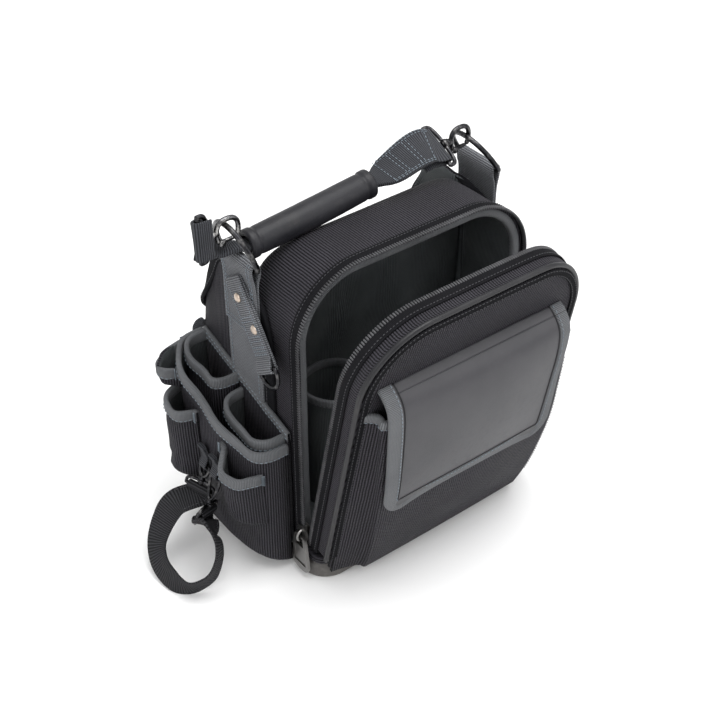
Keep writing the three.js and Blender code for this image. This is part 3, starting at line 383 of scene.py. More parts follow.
def blendColour(tree, factor, a, b):
    n = tree.nodes.new("ShaderNodeMix")
    n.data_type = "RGBA"
    feed(tree, n.inputs[0], factor)
    feed(tree, n.inputs[6], a)
    feed(tree, n.inputs[7], b)
    return n.outputs[2]


def newGroup(name, inputs, outputs):
    group = bpy.data.node_groups.new(name, "ShaderNodeTree")
    for label, kind, start in inputs:
        socket = group.interface.new_socket(label, in_out="INPUT", socket_type=kind)
        if start is not None:
            socket.default_value = start
    for label, kind in outputs:
        group.interface.new_socket(label, in_out="OUTPUT", socket_type=kind)
    return group, group.nodes.new("NodeGroupInput").outputs, group.nodes.new("NodeGroupOutput").inputs


# Plain weave: yarns one pitch apart both ways; where the product of the two sines is positive the first
# set lies on top, elsewhere the second. Height is the rounded back of the upper yarn; the second output marks
# the low places between the yarns, where shade is painted in; rib lets one set stand out, and across turns
# its ribs by a quarter turn
def makeWeave():
    group, given, result = newGroup("wovenYarns",
                                    [("Pattern", "NodeSocketVector", None),
                                     ("Pitch", "NodeSocketFloat", 0.001), ("Rib", "NodeSocketFloat", 0.5),
                                     ("Across", "NodeSocketFloat", 0.0)],
                                    [("Height", "NodeSocketFloat"), ("Gap", "NodeSocketFloat")])
    wobble = noiseNode(group, given["Pattern"], 90.0, 2.0)
    shift = mathNode(group, "MULTIPLY", mathNode(group, "SUBTRACT", wobble, 0.5), 0.9)
    split = group.nodes.new("ShaderNodeSeparateXYZ")
    feed(group, split.inputs[0], given["Pattern"])
    waves = []
    for axis in (0, 1):
        turns = mathNode(group, "DIVIDE", split.outputs[axis], given["Pitch"])
        waves.append(mathNode(group, "SINE", mathNode(group, "MULTIPLY_ADD", turns, math.pi, shift)))
    backs = [mathNode(group, "POWER", mathNode(group, "ABSOLUTE", w), 0.6) for w in waves]
    over = between(group, mathNode(group, "MULTIPLY", waves[0], waves[1]), -0.25, 0.25)
    woven = mathNode(group, "ADD", mathNode(group, "MULTIPLY", backs[0], over),
                     mathNode(group, "MULTIPLY", backs[1], mathNode(group, "SUBTRACT", 1.0, over)))
    ribbed = mathNode(group, "MULTIPLY_ADD", mathNode(group, "SUBTRACT", backs[0], backs[1]), given["Across"],
                      backs[1])
    rib = mathNode(group, "MULTIPLY", ribbed, given["Rib"])
    rest = mathNode(group, "MULTIPLY", woven, mathNode(group, "SUBTRACT", 1.0, given["Rib"]))
    height = mathNode(group, "ADD", rib, rest)
    feed(group, result["Height"], height)
    feed(group, result["Gap"], between(group, height, 0.97, 0.5))
    return group


# Uneven tone: broad clouds and fine fibre speckle, and dust that gathers low down and in patches
def makeTone():
    group, given, result = newGroup(
        "unevenTone", [("Place", "NodeSocketVector", None)],
        [("Clouds", "NodeSocketFloat"), ("Speckle", "NodeSocketFloat"), ("Dust", "NodeSocketFloat")])
    feed(group, result["Clouds"], between(group, noiseNode(group, given["Place"], 22.0, 4.0), 0.3, 0.7))
    feed(group, result["Speckle"], noiseNode(group, given["Place"], 1400.0, 2.0, 0.7))
    split = group.nodes.new("ShaderNodeSeparateXYZ")
    feed(group, split.inputs[0], given["Place"])
    low = between(group, split.outputs[2], 0.12, 0.0)
    patches = between(group, noiseNode(group, given["Place"], 60.0, 6.0, 0.7), 0.52, 0.72)
    feed(group, result["Dust"],
         mathNode(group, "MULTIPLY", patches, mathNode(group, "MULTIPLY_ADD", low, 0.8, 0.2)))
    return group


# Scuffs: noise stretched along one direction, cut high so that only thin streaks stay
def makeScuffs():
    group, given, result = newGroup(
        "metalScuffs", [("Place", "NodeSocketVector", None)],
        [("Streaks", "NodeSocketFloat"), ("Worn", "NodeSocketFloat"), ("Pits", "NodeSocketFloat")])
    stretched = vectorNode(group, "MULTIPLY", given["Place"], (1.0, 1.0, 0.12))
    feed(group, result["Streaks"], between(group, noiseNode(group, stretched, 900.0, 3.0, 0.6), 0.55, 0.72))
    feed(group, result["Worn"],
         between(group, noiseNode(group, given["Place"], 160.0, 5.0, 0.65), 0.48, 0.66))
    feed(group, result["Pits"], noiseNode(group, given["Place"], 2600.0, 2.0))
    return group


weaveGroup, toneGroup, scuffGroup = makeWeave(), makeTone(), makeScuffs()


def useGroup(tree, group, **values):
    n = tree.nodes.new("ShaderNodeGroup")
    n.node_tree = group
    for key, value in values.items():
        feed(tree, n.inputs[key], value)
    return n.outputs


def newMaterial(name):
    material = bpy.data.materials.new(name)
    material.use_nodes = True
    tree = material.node_tree
    tree.nodes.clear()
    shader = tree.nodes.new("ShaderNodeBsdfPrincipled")
    out = tree.nodes.new("ShaderNodeOutputMaterial")
    tree.links.new(shader.outputs[0], out.inputs[0])
    places = tree.nodes.new("ShaderNodeTexCoord").outputs
    return material, tree, shader, places


def bumpFrom(tree, shader, height, depth, distance=0.001):
    n = tree.nodes.new("ShaderNodeBump")
    n.inputs["Strength"].default_value = depth
    n.inputs["Distance"].default_value = distance
    feed(tree, n.inputs["Height"], height)
    tree.links.new(n.outputs[0], shader.inputs["Normal"])


def rgb(r, g, b):
    return (r, g, b, 1.0)


# Woven goods: shade painted into the gaps between the yarns, cloudy tone, fibre speckle and a little dust.
# Upright cloth takes its pattern from X plus Y and from Z, so that its ribs stand on end
def wovenMaterial(name, look):
    material, tree, shader, places = newMaterial(name)
    pattern = places["UV"]
    if look.get("upright"):
        split = tree.nodes.new("ShaderNodeSeparateXYZ")
        feed(tree, split.inputs[0], places["Object"])
        pattern = tree.nodes.new("ShaderNodeCombineXYZ").outputs[0]
        feed(tree, pattern.node.inputs[0], mathNode(tree, "ADD", split.outputs[0], split.outputs[1]))
        feed(tree, pattern.node.inputs[1], split.outputs[2])
    weave = useGroup(tree, weaveGroup, Pattern=pattern, Pitch=look["pitch"], Rib=look["rib"],
                     Across=look["across"])
    tone = useGroup(tree, toneGroup, Place=places["Object"])
    lit = blendColour(tree, tone["Clouds"], look["deep"], look["light"])
    flecked = blendColour(tree, mathNode(tree, "MULTIPLY", tone["Speckle"], 0.35), lit, look["fleck"])
    # Painted shade: the low places between the yarns are darkened towards near black, by the cloth's gap
    # strength
    shaded = blendColour(tree, mathNode(tree, "MULTIPLY", weave["Gap"], look["gap"]), flecked,
                         rgb(0.003, 0.003, 0.004))
    dusty = blendColour(tree, mathNode(tree, "MULTIPLY", tone["Dust"], look["dust"]), shaded,
                        rgb(0.22, 0.2, 0.18))
    feed(tree, shader.inputs["Base Color"], dusty)
    feed(tree, shader.inputs["Roughness"],
         between(tree, tone["Clouds"], 0.0, 1.0, look["rough"] - 0.06, look["rough"] + 0.05))
    shader.inputs["Sheen Weight"].default_value = look["sheen"]
    shader.inputs["Sheen Roughness"].default_value = 0.45
    shader.inputs["Specular IOR Level"].default_value = look["shine"]
    bumpFrom(tree, shader, weave["Height"], look["bump"], look["pitch"] * 0.9)
    return material


# Each cloth's gap sets how strongly shade is painted between its yarns
cloths = {"ballistic": {"pitch": 0.0025, "rib": 0.7, "across": 0.0, "deep": rgb(0.018, 0.0168, 0.0215),
                        "light": rgb(0.030, 0.028, 0.0355), "fleck": rgb(0.13, 0.125, 0.145), "gap": 0.95,
                        "dust": 0.05, "rough": 0.66, "sheen": 0.02, "shine": 0.14, "bump": 1.0},
          "webbing": {"pitch": 0.0018, "rib": 0.8, "across": 1.0, "deep": rgb(0.030, 0.032, 0.038),
                      "light": rgb(0.048, 0.051, 0.060), "fleck": rgb(0.12, 0.125, 0.14), "gap": 0.85,
                      "dust": 0.06, "rough": 0.7, "sheen": 0.05, "shine": 0.2, "bump": 0.9},
          "binding": {"pitch": 0.0013, "rib": 0.7, "across": 1.0, "deep": rgb(0.100, 0.105, 0.113),
                      "light": rgb(0.148, 0.154, 0.163), "fleck": rgb(0.25, 0.255, 0.265), "gap": 0.55,
                      "dust": 0.05, "rough": 0.7, "sheen": 0.06, "shine": 0.2, "bump": 0.7},
          "blackTape": {"pitch": 0.0012, "rib": 0.6, "across": 1.0, "deep": rgb(0.005, 0.005, 0.006),
                        "light": rgb(0.010, 0.010, 0.0115), "fleck": rgb(0.03, 0.03, 0.034), "gap": 0.6,
                        "dust": 0.04, "rough": 0.75, "sheen": 0.0, "shine": 0.06, "bump": 0.7},
          "lining": {"pitch": 0.0016, "rib": 0.85, "across": 1.0, "deep": rgb(0.056, 0.064, 0.068),
                     "light": rgb(0.094, 0.104, 0.108), "fleck": rgb(0.1, 0.11, 0.11), "gap": 0.55,
                     "dust": 0.03, "rough": 0.66, "sheen": 0.05, "shine": 0.2, "bump": 0.6, "upright": True}}
ballistic = wovenMaterial("ballisticNylon", cloths["ballistic"])
uprightBallistic = wovenMaterial("uprightNylon", {**cloths["ballistic"], "upright": True, "across": 1.0})
webbing = wovenMaterial("greyWebbing", cloths["webbing"])
paleWebbing = wovenMaterial("paleWebbing", {**cloths["webbing"], "rib": 0.3, "deep": rgb(0.14, 0.146, 0.16),
                                            "light": rgb(0.20, 0.208, 0.225), "fleck": rgb(0.32, 0.33, 0.35)})
binding = wovenMaterial("greyBinding", cloths["binding"])
blackTape = wovenMaterial("blackTape", cloths["blackTape"])
blackWebbing = wovenMaterial("blackWebbing",
                             {**cloths["blackTape"], "pitch": 0.0024, "rib": 0.9, "gap": 0.9,
                              "deep": rgb(0.012, 0.012, 0.014), "light": rgb(0.022, 0.022, 0.025),
                              "fleck": rgb(0.08, 0.08, 0.088), "shine": 0.2})
lining = wovenMaterial("greenGreyLining", cloths["lining"])
cupLining = wovenMaterial("cupLining", {**cloths["lining"], "upright": False, "across": 0.0})
padCloth = wovenMaterial("padNylon", {**cloths["ballistic"], "upright": True})


# Coated sheet: fine leathery pebbles under a satin coat, with soft pressure clouds and faint rub marks
def coatedMaterial(name):
    material, tree, shader, places = newMaterial(name)
    tone = useGroup(tree, toneGroup, Place=places["Object"])
    scuffs = useGroup(tree, scuffGroup, Place=places["Object"])
    lit = blendColour(tree, tone["Clouds"], rgb(0.036, 0.0355, 0.040), rgb(0.045, 0.044, 0.049))
    rubbed = blendColour(tree, mathNode(tree, "MULTIPLY", scuffs["Worn"], 0.05), lit, rgb(0.1, 0.1, 0.11))
    feed(tree, shader.inputs["Base Color"], rubbed)
    feed(tree, shader.inputs["Roughness"], between(tree, scuffs["Worn"], 0.0, 1.0, 0.42, 0.47))
    shader.inputs["Specular IOR Level"].default_value = 0.35
    pebbles = tree.nodes.new("ShaderNodeTexVoronoi")
    feed(tree, pebbles.inputs["Vector"], places["Object"])
    pebbles.inputs["Scale"].default_value = 1100.0
    bumpFrom(tree, shader, mathNode(tree, "MULTIPLY_ADD", tone["Speckle"], 0.4, pebbles.outputs["Distance"]),
             0.12, 0.0005)
    return material


# Moulded plastic or rubber: fine spark grain, cloudy tone, dust in patches and rubbed lighter spots
def mouldedMaterial(name, deep, light, rough, grain, rubbed=0.15):
    material, tree, shader, places = newMaterial(name)
    tone = useGroup(tree, toneGroup, Place=places["Object"])
    scuffs = useGroup(tree, scuffGroup, Place=places["Object"])
    lit = blendColour(tree, tone["Clouds"], deep, light)
    paler = tuple(min(1.0, 2.2 * v + 0.02) for v in light[:3]) + (1.0,)
    worn = blendColour(tree, mathNode(tree, "MULTIPLY", scuffs["Worn"], rubbed), lit, paler)
    dusty = blendColour(tree, mathNode(tree, "MULTIPLY", tone["Dust"], 0.18), worn, rgb(0.26, 0.24, 0.21))
    feed(tree, shader.inputs["Base Color"], dusty)
    feed(tree, shader.inputs["Roughness"],
         between(tree, tone["Clouds"], 0.0, 1.0, rough - 0.07, rough + 0.07))
    shader.inputs["Specular IOR Level"].default_value = 0.3
    bumpFrom(tree, shader, mathNode(tree, "ADD", scuffs["Pits"], tone["Speckle"]), grain, 0.0004)
    return material


# Metal: plated colour that wears through to bright base metal in spots and streaks
def metalMaterial(name, plated, bare, wear, rough):
    material, tree, shader, places = newMaterial(name)
    scuffs = useGroup(tree, scuffGroup, Place=places["Object"])
    mark = mathNode(tree, "MAXIMUM", mathNode(tree, "MULTIPLY", scuffs["Worn"], wear),
                    mathNode(tree, "MULTIPLY", scuffs["Streaks"], wear * 0.6))
    feed(tree, shader.inputs["Base Color"], blendColour(tree, mark, plated, bare))
    shader.inputs["Metallic"].default_value = 1.0
    feed(tree, shader.inputs["Roughness"], between(tree, scuffs["Worn"], 0.0, 1.0, rough, rough + 0.16))
    bumpFrom(tree, shader, mathNode(tree, "ADD", scuffs["Pits"], scuffs["Streaks"]), 0.12, 0.0003)
    return material


# Thread: a twist of two strands, drawn as slanting bands along the stitch; the darker bands are painted shade
# in the grooves between the strands
def threadMaterial(name, colour, shade):
    material, tree, shader, places = newMaterial(name)
    wave = tree.nodes.new("ShaderNodeTexWave")
    wave.inputs["Scale"].default_value = 420.0
    wave.inputs["Distortion"].default_value = 1.5
    feed(tree, wave.inputs["Vector"], places["Object"])
    feed(tree, shader.inputs["Base Color"], blendColour(tree, wave.outputs[1], shade, colour))
    shader.inputs["Roughness"].default_value = 0.6
    bumpFrom(tree, shader, wave.outputs[1], 0.5, 0.0003)
    return material


coated = coatedMaterial("coatedSheet")
basePlastic = mouldedMaterial("greyBase", rgb(0.078, 0.073, 0.070), rgb(0.115, 0.108, 0.102), 0.5, 0.3)
gripRubber = mouldedMaterial("gripRubber", rgb(0.009, 0.009, 0.0115), rgb(0.017, 0.017, 0.0205), 0.42, 0.35,
                             0.08)
pipingRubber = mouldedMaterial("smoothPiping", rgb(0.010, 0.010, 0.012), rgb(0.018, 0.018, 0.02), 0.4, 0.15,
                               0.05)
blackMetal = metalMaterial("blackPlated", rgb(0.03, 0.03, 0.033), rgb(0.42, 0.41, 0.4), 0.25, 0.28)
wornMetal = metalMaterial("wornHook", rgb(0.10, 0.10, 0.105), rgb(0.6, 0.59, 0.57), 0.75, 0.26)
zipMetal = metalMaterial("darkNickel", rgb(0.20, 0.195, 0.19), rgb(0.42, 0.41, 0.4), 0.22, 0.3)
copper = metalMaterial("copperRivet", rgb(0.50, 0.41, 0.34), rgb(0.7, 0.62, 0.54), 0.6, 0.34)
nickel = metalMaterial("nickelRivet", rgb(0.45, 0.45, 0.45), rgb(0.75, 0.75, 0.74), 0.5, 0.28)
toothMetal = mouldedMaterial("zipTeeth", rgb(0.04, 0.04, 0.043), rgb(0.07, 0.07, 0.075), 0.4, 0.15, 0.2)
paleThread = threadMaterial("paleThread", rgb(0.24, 0.28, 0.32), rgb(0.14, 0.17, 0.2))
darkThread = threadMaterial("darkThread", rgb(0.06, 0.06, 0.066), rgb(0.025, 0.025, 0.03))
print("stage: materials made")


# Front outline of case and door: two upright sides joined by two round top corners; with low it runs on
# round the foot and closes
def archOutline(half, foot, top, corner, count, low=0.0):
    t = np.linspace(0, math.pi / 2, 24)
    left = np.stack([-half + corner - corner * np.cos(t), top - corner + corner * np.sin(t)], -1)
    right = left[::-1] * [-1, 1]
    points = [[[-half, foot + low]], left, right, [[half, foot + low]]]
    if low:
        rightFoot = np.stack([half - low + low * np.cos(t), foot + low - low * np.sin(t)], -1)
        points += [rightFoot, rightFoot[::-1] * [-1, 1]]
        return evenly(np.vstack(points + [[[-half, foot + low]]]), count + 1)[:-1]
    return evenly(np.vstack(points), count)


# Points of the outline at depth y, and the outward direction there
def archPath(inset, foot, y, count=220):
    half, top = caseSize["half"] - inset, caseSize["top"] - inset
    line = archOutline(half, foot, top, caseSize["corner"] - inset, count)
    step = unit(np.gradient(line, axis=0))
    path = np.stack([line[:, 0], np.full(count, float(y)), line[:, 1]], -1)
    return path, np.stack([-step[:, 1], np.zeros(count), step[:, 0]], -1)


low, high = box["front_case"]
caseSize = {"half": high[0], "foot": low[2], "top": high[2], "front": low[1], "back": high[1], "corner": 66.0,
            "wall": 4.0, "backRound": 50.0, "soft": 14.0, "edgeRound": 14.0, "footRound": 9.0, "sag": 1.9,
            "crown": 2.0}


# Faces that look along Y take the cloth whose ribs stand upright
def standRibs(obj):
    mesh = obj.data
    mesh.materials.append(uprightBallistic)
    normals, slots = np.empty(len(mesh.polygons) * 3), np.empty(len(mesh.polygons), np.int32)
    mesh.polygons.foreach_get("normal", normals)
    mesh.polygons.foreach_get("material_index", slots)
    slots[(slots == 0) & (abs(normals[1::3]) > 0.75)] = 2
    mesh.polygons.foreach_set("material_index", slots)
    return obj


# Case: the outline is carried back; over the last stretch a ceiling that follows a quarter circle presses its
# top down, smoothly where the two meet, and its sides turn in, then it closes on the middle of the back. The
# top is crowned by a half sine of the depth, to the power 0.7, and ripples let the cloth sag
def makeCase():
    c = caseSize
    count, turn = 150, np.linspace(0, math.pi / 2, 18)[1:]
    straight = np.linspace(c["front"], c["back"] - c["backRound"], 9)
    depth = np.r_[straight, c["back"] - c["backRound"] * (1 - np.sin(turn))]
    drop = np.r_[np.zeros(9), c["backRound"] * (1 - np.cos(turn))]
    near = np.clip((depth - (c["back"] - c["edgeRound"])) / c["edgeRound"], 0, 1)
    narrow = c["edgeRound"] * (1 - np.sqrt(1 - near**2))
    rows = []
    for y, d, n in zip(depth, drop, narrow):
        line = archOutline(c["half"] - n, c["foot"] + n * 0.5, c["top"], c["corner"], count, c["footRound"])
        ceiling = c["top"] + c["soft"] - d
        h = np.clip(0.5 + (ceiling - line[:, 1]) / (2 * c["soft"]), 0, 1)
        z = ceiling * (1 - h) + line[:, 1] * h - c["soft"] * h * (1 - h)
        swell = np.clip(math.sin(math.pi * (y - c["front"]) / (c["back"] - c["front"])), 0, 1) ** 0.7
        z = z + c["crown"] * swell * np.clip((line[:, 1] - 200) / (c["top"] - 200), 0, 1) ** 2
        rows.append(np.stack([line[:, 0], np.full(count, y), z], -1))
    middle = np.array([0, c["back"], 140.0])
    last = rows[-1]
    rows += [middle + (last - middle) * f for f in np.linspace(1, 0, 12)[1:]]
    grid = np.array(rows)
    u, v = np.meshgrid(np.linspace(0, 1, grid.shape[0]), np.linspace(0, 1, count), indexing="ij")
    calm = np.clip(u * 6, 0, 1)
    n = gridNormals(grid)
    n[-1] = [0, 1, 0]
    away = np.sign((n * (grid - grid.mean((0, 1)))).sum())
    wave = (ripple(u, np.sin(2 * math.pi * v), 4, reach=1.6) - 0.7) * c["sag"]
    grid = grid + away * n * (wave * calm)[..., None]
    grid[-1] = grid[-1].mean(0)
    return standRibs(cloth("frontCase", grid, c["wall"], ballistic, lining, closeCols=True))


place(makeCase(), "bag", "ballistic", "front_case")

rimLook = {"thick": 9.0, "wide": 7.0, "inset": 6.3, "forward": 2.6, "foot": 36.0}
path, out = archPath(rimLook["inset"], rimLook["foot"], caseSize["front"] + rimLook["forward"])
path = path + out * ripple(np.linspace(0, 1, len(path)), 0, 11, reach=5)[:, None] * 0.5
rim = carry("rimBindingLip", path, out, [0, 1, 0], tapeSection(rimLook["thick"], rimLook["wide"], 20, 0.8),
            binding)
place(rim, "bag", "webbing", "rim_binding")
path, out = archPath(rimLook["inset"] + rimLook["thick"] / 2 - 0.3, rimLook["foot"] + 4,
                     caseSize["front"] + rimLook["forward"] + 1.6)
place(stitches("rimBindingStitches", path, -out, darkThread, 3.6), "bag", "webbing")

zipLook = {"tape": 10.5, "thick": 1.3, "foot": 34.0, "off": 1.1, "pitch": 2.6, "tooth": (1.7, 4.6, 2.8),
           "gap": 0.2}


# Zip teeth: small rounded bars across the zip, one per pitch along the path
def zipTeeth(name, path, out, side):
    along, across, tall = zipLook["tooth"]
    length = np.linalg.norm(np.diff(path, axis=0), axis=1).sum()
    count = int(length / zipLook["pitch"])
    spots = evenly(path, count)
    outs = unit(evenly(out, count))
    ahead = unit(np.gradient(spots, axis=0))
    over = np.broadcast_to([0.0, 1.0, 0.0], spots.shape)
    t = np.linspace(0, 2 * math.pi, 6, endpoint=False) + math.pi / 6
    ringAt = np.array([-1, -0.72, 0.72, 1.0])
    ringSize = np.array([0.62, 1, 1, 0.62])
    centre = spots + over * side * (zipLook["gap"] + across / 2)
    points = (centre[:, None, None] + over[:, None, None] * (ringAt * across / 2)[None, :, None, None]
              + ringSize[None, :, None, None] * (
                  ahead[:, None, None] * (np.cos(t) * along / 1.7)[None, None, :, None]
                  + outs[:, None, None] * (np.sin(t) * tall / 1.9)[None, None, :, None]))
    faces, _ = quads(4, 6, False, True)
    one = [list(f) for f in faces] + [list(range(6))[::-1], list(range(18, 24))]
    return tidyMesh(makeMesh(name, points, [[v + 24 * k for v in f] for k in range(count) for f in one],
                             [toothMetal]), True)


# One side of the zip: tape outside the wall, a row of stitches through it, and its teeth
def zipSide(word, side, foot, toPlace, body, node):
    path, out = archPath(-zipLook["off"], foot, zipY + side * (3.4 + zipLook["tape"] / 2))
    tape = carry(word + "ZipTape", toPlace(path), toPlace(path + out) - toPlace(path),
                 toPlace(path + [0, 1, 0]) - toPlace(path),
                 tapeSection(zipLook["thick"], zipLook["tape"], 16, 0.35), blackTape)
    place(tape, body, "zipper", node)
    path, out = archPath(-zipLook["off"] - 0.5, foot + 2, zipY + side * (zipLook["tape"] + 0.6))
    place(stitches(word + "ZipStitches", toPlace(path), toPlace(path + out) - toPlace(path), darkThread, 3.4),
          body, "zipper")
    path, out = archPath(-zipLook["off"], foot + 1, zipY)
    teeth = zipTeeth(word + "ZipTeeth", path, out, side)
    if side < 0:
        mesh = teeth.data
        points = np.empty(len(mesh.vertices) * 3)
        mesh.vertices.foreach_get("co", points)
        mesh.vertices.foreach_set("co", (onDoor(points.reshape(-1, 3) / mm) * mm).ravel())
        mesh.update()
    place(teeth, body, "zipper")


zipSide("case", 1, zipLook["foot"], lambda p: p, "bag", "zip_tape_case")
zipSide("door", -1, zipLook["foot"] + 1, onDoor, "door", "zip_tape_door")
print("stage: case and zip made")


# Folded tape over an edge: out is the cloth's normal at the edge, down leads into the cloth
def bind(name, edge, out, down, wide, thick, material, body, slotName, wave=0.0, seed=1, closed=False):
    out = np.broadcast_to(np.asarray(out, float), edge.shape)
    down = unit(np.broadcast_to(np.asarray(down, float), edge.shape))
    t = np.linspace(0, 1, len(edge))
    sway = ripple(t, 0, seed, reach=4)[:, None] * wave
    path = edge + down * (wide / 2 - 1.2) + unit(out) * sway
    piece = carry(name, path, unit(out), down, tapeSection(thick, wide, 16, 0.5), material, closed)
    return place(piece, body, slotName)


# A row of stitches along an edge, set in from it and raised to the tape's face
def sewEdge(name, edge, out, down, inset, lift, thread, body, slotName, pitch=4.0, wave=0.0, seed=1):
    out = np.broadcast_to(np.asarray(out, float), edge.shape)
    sway = ripple(np.linspace(0, 1, len(edge)), 0, seed, reach=4)[:, None] * wave
    down = unit(np.broadcast_to(np.asarray(down, float), edge.shape))
    path = edge + down * inset + unit(out) * (lift + sway)
    return place(stitches(name, path, unit(out), thread, pitch), body, slotName)


low, high = box["rear_compartment"]
rearSize = {"half": high[0] - 0.4, "front": low[1], "back": high[1] - 0.4, "foot": low[2], "thick": 3.0,
            "corner": 16.0, "shoulder": 246.0, "peak": 307.0, "peakAt": 100.0, "wall": 225.0, "tape": 11.0,
            "sag": 1.2, "bulge": 19.0, "bulgeFoot": 20, "bulgeHigh": 260, "lean": 16.0, "leanFoot": 215,
            "leanHigh": 80, "late": 7.0}


# Height of the rear compartment's edge above each place behind the zip: up the ear's front shoulder to
# its peak, down to the rear wall. An ear that is late has its peak and its back so much further behind
def earHeight(behind, late):
    r = rearSize
    stops = [(40, r["shoulder"]), (44, 262), (52, 278), (66, 292), (82, 303), (r["peakAt"] + late, r["peak"]),
             (114 + late, 303), (126 + late, 290), (135 + late, 268), (141 + 0.6 * late, 246),
             (145.5, r["wall"])]
    return np.interp(behind, *spline(stops, 160).T)


# Rear compartment: one sheet that runs back along the left ear, round the rear wall and forward again. Its
# wall swells out by a half sine of the height, which grows with the square of the way back, and the top of
# the right ear leans inwards in proportion to its height. A folded tape follows the whole upper edge
def makeRear():
    r = rearSize
    t = np.linspace(0, math.pi / 2, 14)
    corner = np.stack([-r["half"] + r["corner"] * (1 - np.cos(t)), r["back"] - r["corner"] * (1 - np.sin(t))],
                      -1)
    plan = np.vstack([[[-r["half"], r["front"]]], corner, corner[::-1] * [-1, 1], [[r["half"], r["front"]]]])
    plan = evenly(plan, 190)
    top = np.where(plan[:, 0] > 0, earHeight(plan[:, 1] - zipY, r["late"]), earHeight(plan[:, 1] - zipY, 0.0))
    top = np.where(plan[:, 1] > r["back"] - 0.6, r["wall"] - 5 * np.cos(plan[:, 0] / r["half"] * math.pi / 2),
                   top)
    rise = np.linspace(0, 1, 34)[:, None]
    z = r["foot"] + (top[None] - r["foot"]) * rise
    grid = np.stack([np.broadcast_to(plan[:, 0], z.shape), np.broadcast_to(plan[:, 1], z.shape), z], -1)
    inward = unit(np.stack([-grid[..., 0] * (abs(plan[:, 0]) > 80), 60 - grid[..., 1] * (plan[:, 1] > 60) * 2,
                            z * 0], -1))
    behind = np.broadcast_to(plan[:, 1], z.shape)
    uneven = ripple(rise + z * 0, np.linspace(0, 1, 190)[None] + z * 0, 21) + 1
    amount = uneven * r["sag"] * np.clip((behind - 40) / 30, 0, 1)
    grid = grid + inward * amount[..., None] * [0, 1, 0]
    swell = r["bulge"] * np.sin(math.pi * np.clip((z - r["bulgeFoot"]) / r["bulgeHigh"], 0, 1))
    grid[..., 1] += swell * np.clip((behind - 40) / 40, 0, 1) ** 2
    lean = np.clip((z - r["leanFoot"]) / r["leanHigh"], 0, 1)
    lean = lean * np.clip((behind + 10) / 35, 0, 1) * (plan[:, 0] > 0)
    grid[..., 0] -= r["lean"] * lean
    sheet = cloth("rearCompartment", grid, r["thick"], ballistic, lining, core=np.array([0, 40.0, 120]))
    edge = grid[-1]
    whole = evenly(np.vstack([grid[:, 0], edge[1:-1], grid[::-1, -1]]), 420)
    step = unit(np.gradient(whole, axis=0))
    out = np.where(abs(whole[:, :1]) > r["half"] - 3, np.sign(whole[:, :1]) * np.array([[1.0, 0, 0]]),
                   [[0, 1.0, 0]])
    smooth = np.ones(25) / 25
    out = unit(np.stack([np.convolve(np.pad(c, 12, "edge"), smooth, "valid") for c in out.T], -1))
    down = np.cross(out, step)
    down = np.where(down[:, 2:] > 0.2, -down, down)
    down = np.where((abs(down[:, 2:]) <= 0.2) & (down[:, 1:2] < 0), -down, down)
    middle = whole - out * r["thick"] / 2
    piece = carry("rearBinding", middle + down * (r["tape"] / 2 - 1.2), out, down,
                  tapeSection(r["thick"] + 1.8, r["tape"], 16, 0.5), blackTape)
    place(piece, "bag", "zipper")
    sew = stitches("rearBindingStitches", middle + down * (r["tape"] - 3.2) + out * (r["thick"] / 2 + 0.75),
                   out, darkThread, 4.0)
    place(sew, "bag", "zipper")
    return place(sheet, "bag", "ballistic", "rear_compartment")


makeRear()


rearTabLook = {"thick": 2.0, "wide": 9.0,
               "way": [(-125, 90, 202), (-127, 93.5, 201), (-130, 97, 197), (-132, 98, 191),
                       (-130.5, 96.5, 186), (-127, 93, 187), (-124.5, 90, 189)]}


# Short folded end of webbing that stands out of the rear left corner, round its way's smooth curve
def makeRearTab():
    r = rearTabLook
    path = spline(r["way"], 60)
    a, b = sides(path, np.cross(unit(np.gradient(path, axis=0)), [0.6, -0.8, 0.0]))
    return place(carry("rearTab", path, a, b, tapeSection(r["thick"], r["wide"], 16, 0.25), webbing), "bag",
                 "webbing")


makeRearTab()


# Floor of the rear compartment: a flat sheet with slight ripples, just above the wall's foot
def makeRearFloor():
    r = rearSize
    x = np.linspace(-r["half"] + 4, r["half"] - 4, 30)
    y = np.linspace(caseSize["back"] + 1, r["back"] - 4, 12)
    gx, gy = np.meshgrid(x, y)
    grid = np.stack([gx, gy, r["foot"] + 2.8 + 0.5 * ripple(gx / 200, gy / 60, 8)], -1)
    return place(cloth("rearFloor", grid, 2.2, lining, lining, core=np.array([0, 50.0, -100])), "bag",
                 "lining")


makeRearFloor()

padLook = {"half": 129.5, "deep": 85.5, "corner": 12.0, "low": 20.5, "high": 29.7, "round": 3.2}


